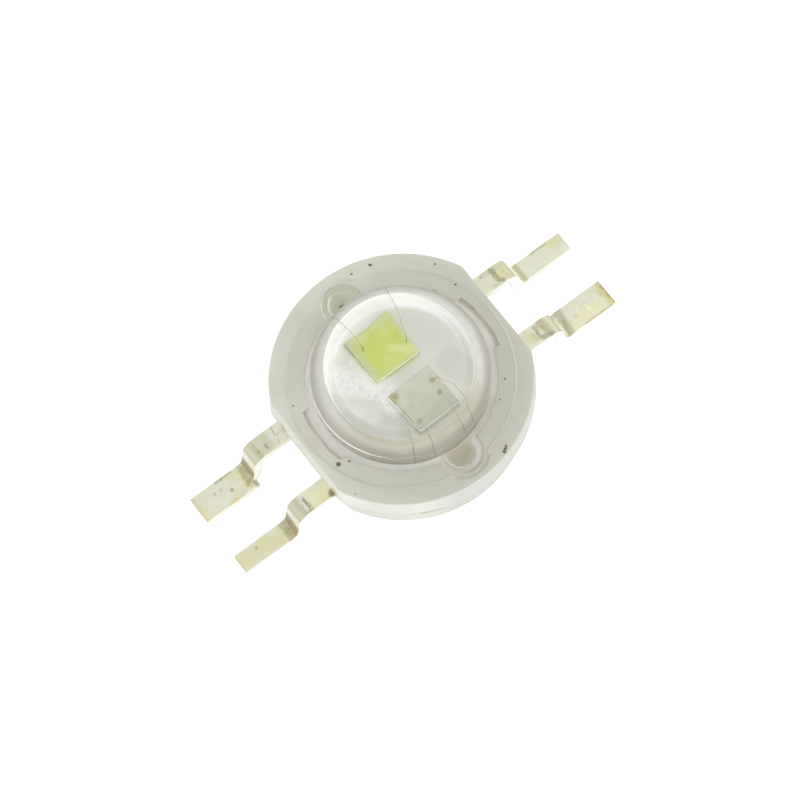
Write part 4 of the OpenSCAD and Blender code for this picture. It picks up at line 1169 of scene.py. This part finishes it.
# %% Tent
ZENITH, HORIZON, POWER, TENT_COLOUR = 0.84, 1.9, 4.0, (1.0, 1.0, 0.985, 1.0)
SOFT_BOXES = [(-112, 37), (-45, 38)]
BOX_EDGE, BOX_MIDDLE = math.cos(math.radians(38)), math.cos(math.radians(12))
world = bpy.data.worlds.new("tent")
bpy.context.scene.world = world
world.use_nodes = True
tree = world.node_tree
way = add(tree, PLACES).outputs["Generated"]
height = add(tree, MATH, {0: add(tree, XYZ, {0: way}).outputs[2], 1: 0.0}, operation="MAXIMUM")
low = add(tree, MATH, {0: 1.0, 1: height}, operation="SUBTRACT")
low = add(tree, MATH, {0: low, 1: POWER}, operation="POWER")
light = add(tree, MATH, {0: low, 1: HORIZON, 2: ZENITH}, operation="MULTIPLY_ADD")
for turn_deg, lift_deg in SOFT_BOXES:
    turn_to, lift = math.radians(turn_deg), math.radians(lift_deg)
    toward = (math.cos(turn_to) * math.cos(lift), math.sin(turn_to) * math.cos(lift), math.sin(lift))
    near = add(tree, VECTOR, {0: way, 1: toward}, operation="DOT_PRODUCT")
    soft_box = where(tree, (near, BOX_EDGE, BOX_MIDDLE))
    light = add(tree, MATH, {0: light, 1: soft_box}, operation="ADD")
seen = add(tree, "ShaderNodeLightPath").outputs["Is Camera Ray"]
strength = add(tree, MIX, {"Factor": seen, "A": light, "B": 1.0})
feed(tree, tree.nodes["Background"], {"Strength": strength, "Color": TENT_COLOUR})
print("tent:", ZENITH, "overhead,", ZENITH + HORIZON, "at the horizon")

# %% [markdown]
# ## Camera
# The view angle, distance and focal length were solved from the outlines of the body in the
# photograph: 71 degrees above the table and 29 degrees to the left, with a small roll.

# %% Camera
AZ, EL, ROLL = (math.radians(a) for a in (-28.96, 70.97, -8.49))
DIST, PX_PER_MM, CENTRE_U, CENTRE_V = 105.0, 32.58, 405.25, 404.65
PICTURE_PX, SENSOR_MM = 800, 36.0
back = Vector((math.sin(AZ) * math.cos(EL), -math.cos(AZ) * math.cos(EL), math.sin(EL)))
level_right = Vector((math.cos(AZ), math.sin(AZ), 0))
level_up = back.cross(level_right)
right = math.cos(ROLL) * level_right + math.sin(ROLL) * level_up
up = math.cos(ROLL) * level_up - math.sin(ROLL) * level_right
eye = bpy.data.cameras.new("eye")
eye.sensor_width = SENSOR_MM
eye.lens = DIST * PX_PER_MM * SENSOR_MM / PICTURE_PX
eye.shift_x = 0.5 - CENTRE_U / PICTURE_PX
eye.shift_y = CENTRE_V / PICTURE_PX - 0.5
eye.clip_start, eye.clip_end = 0.005, 5.0
camera = bpy.data.objects.new("eye", eye)
bpy.context.scene.collection.objects.link(camera)
turn_to = Matrix((right, up, back)).transposed().to_4x4()
camera.matrix_world = Matrix.Translation(back * DIST * MM) @ turn_to
bpy.context.scene.camera = camera
bpy.context.scene.view_settings.view_transform = "Standard"
print("camera lens", round(eye.lens, 1), "mm")
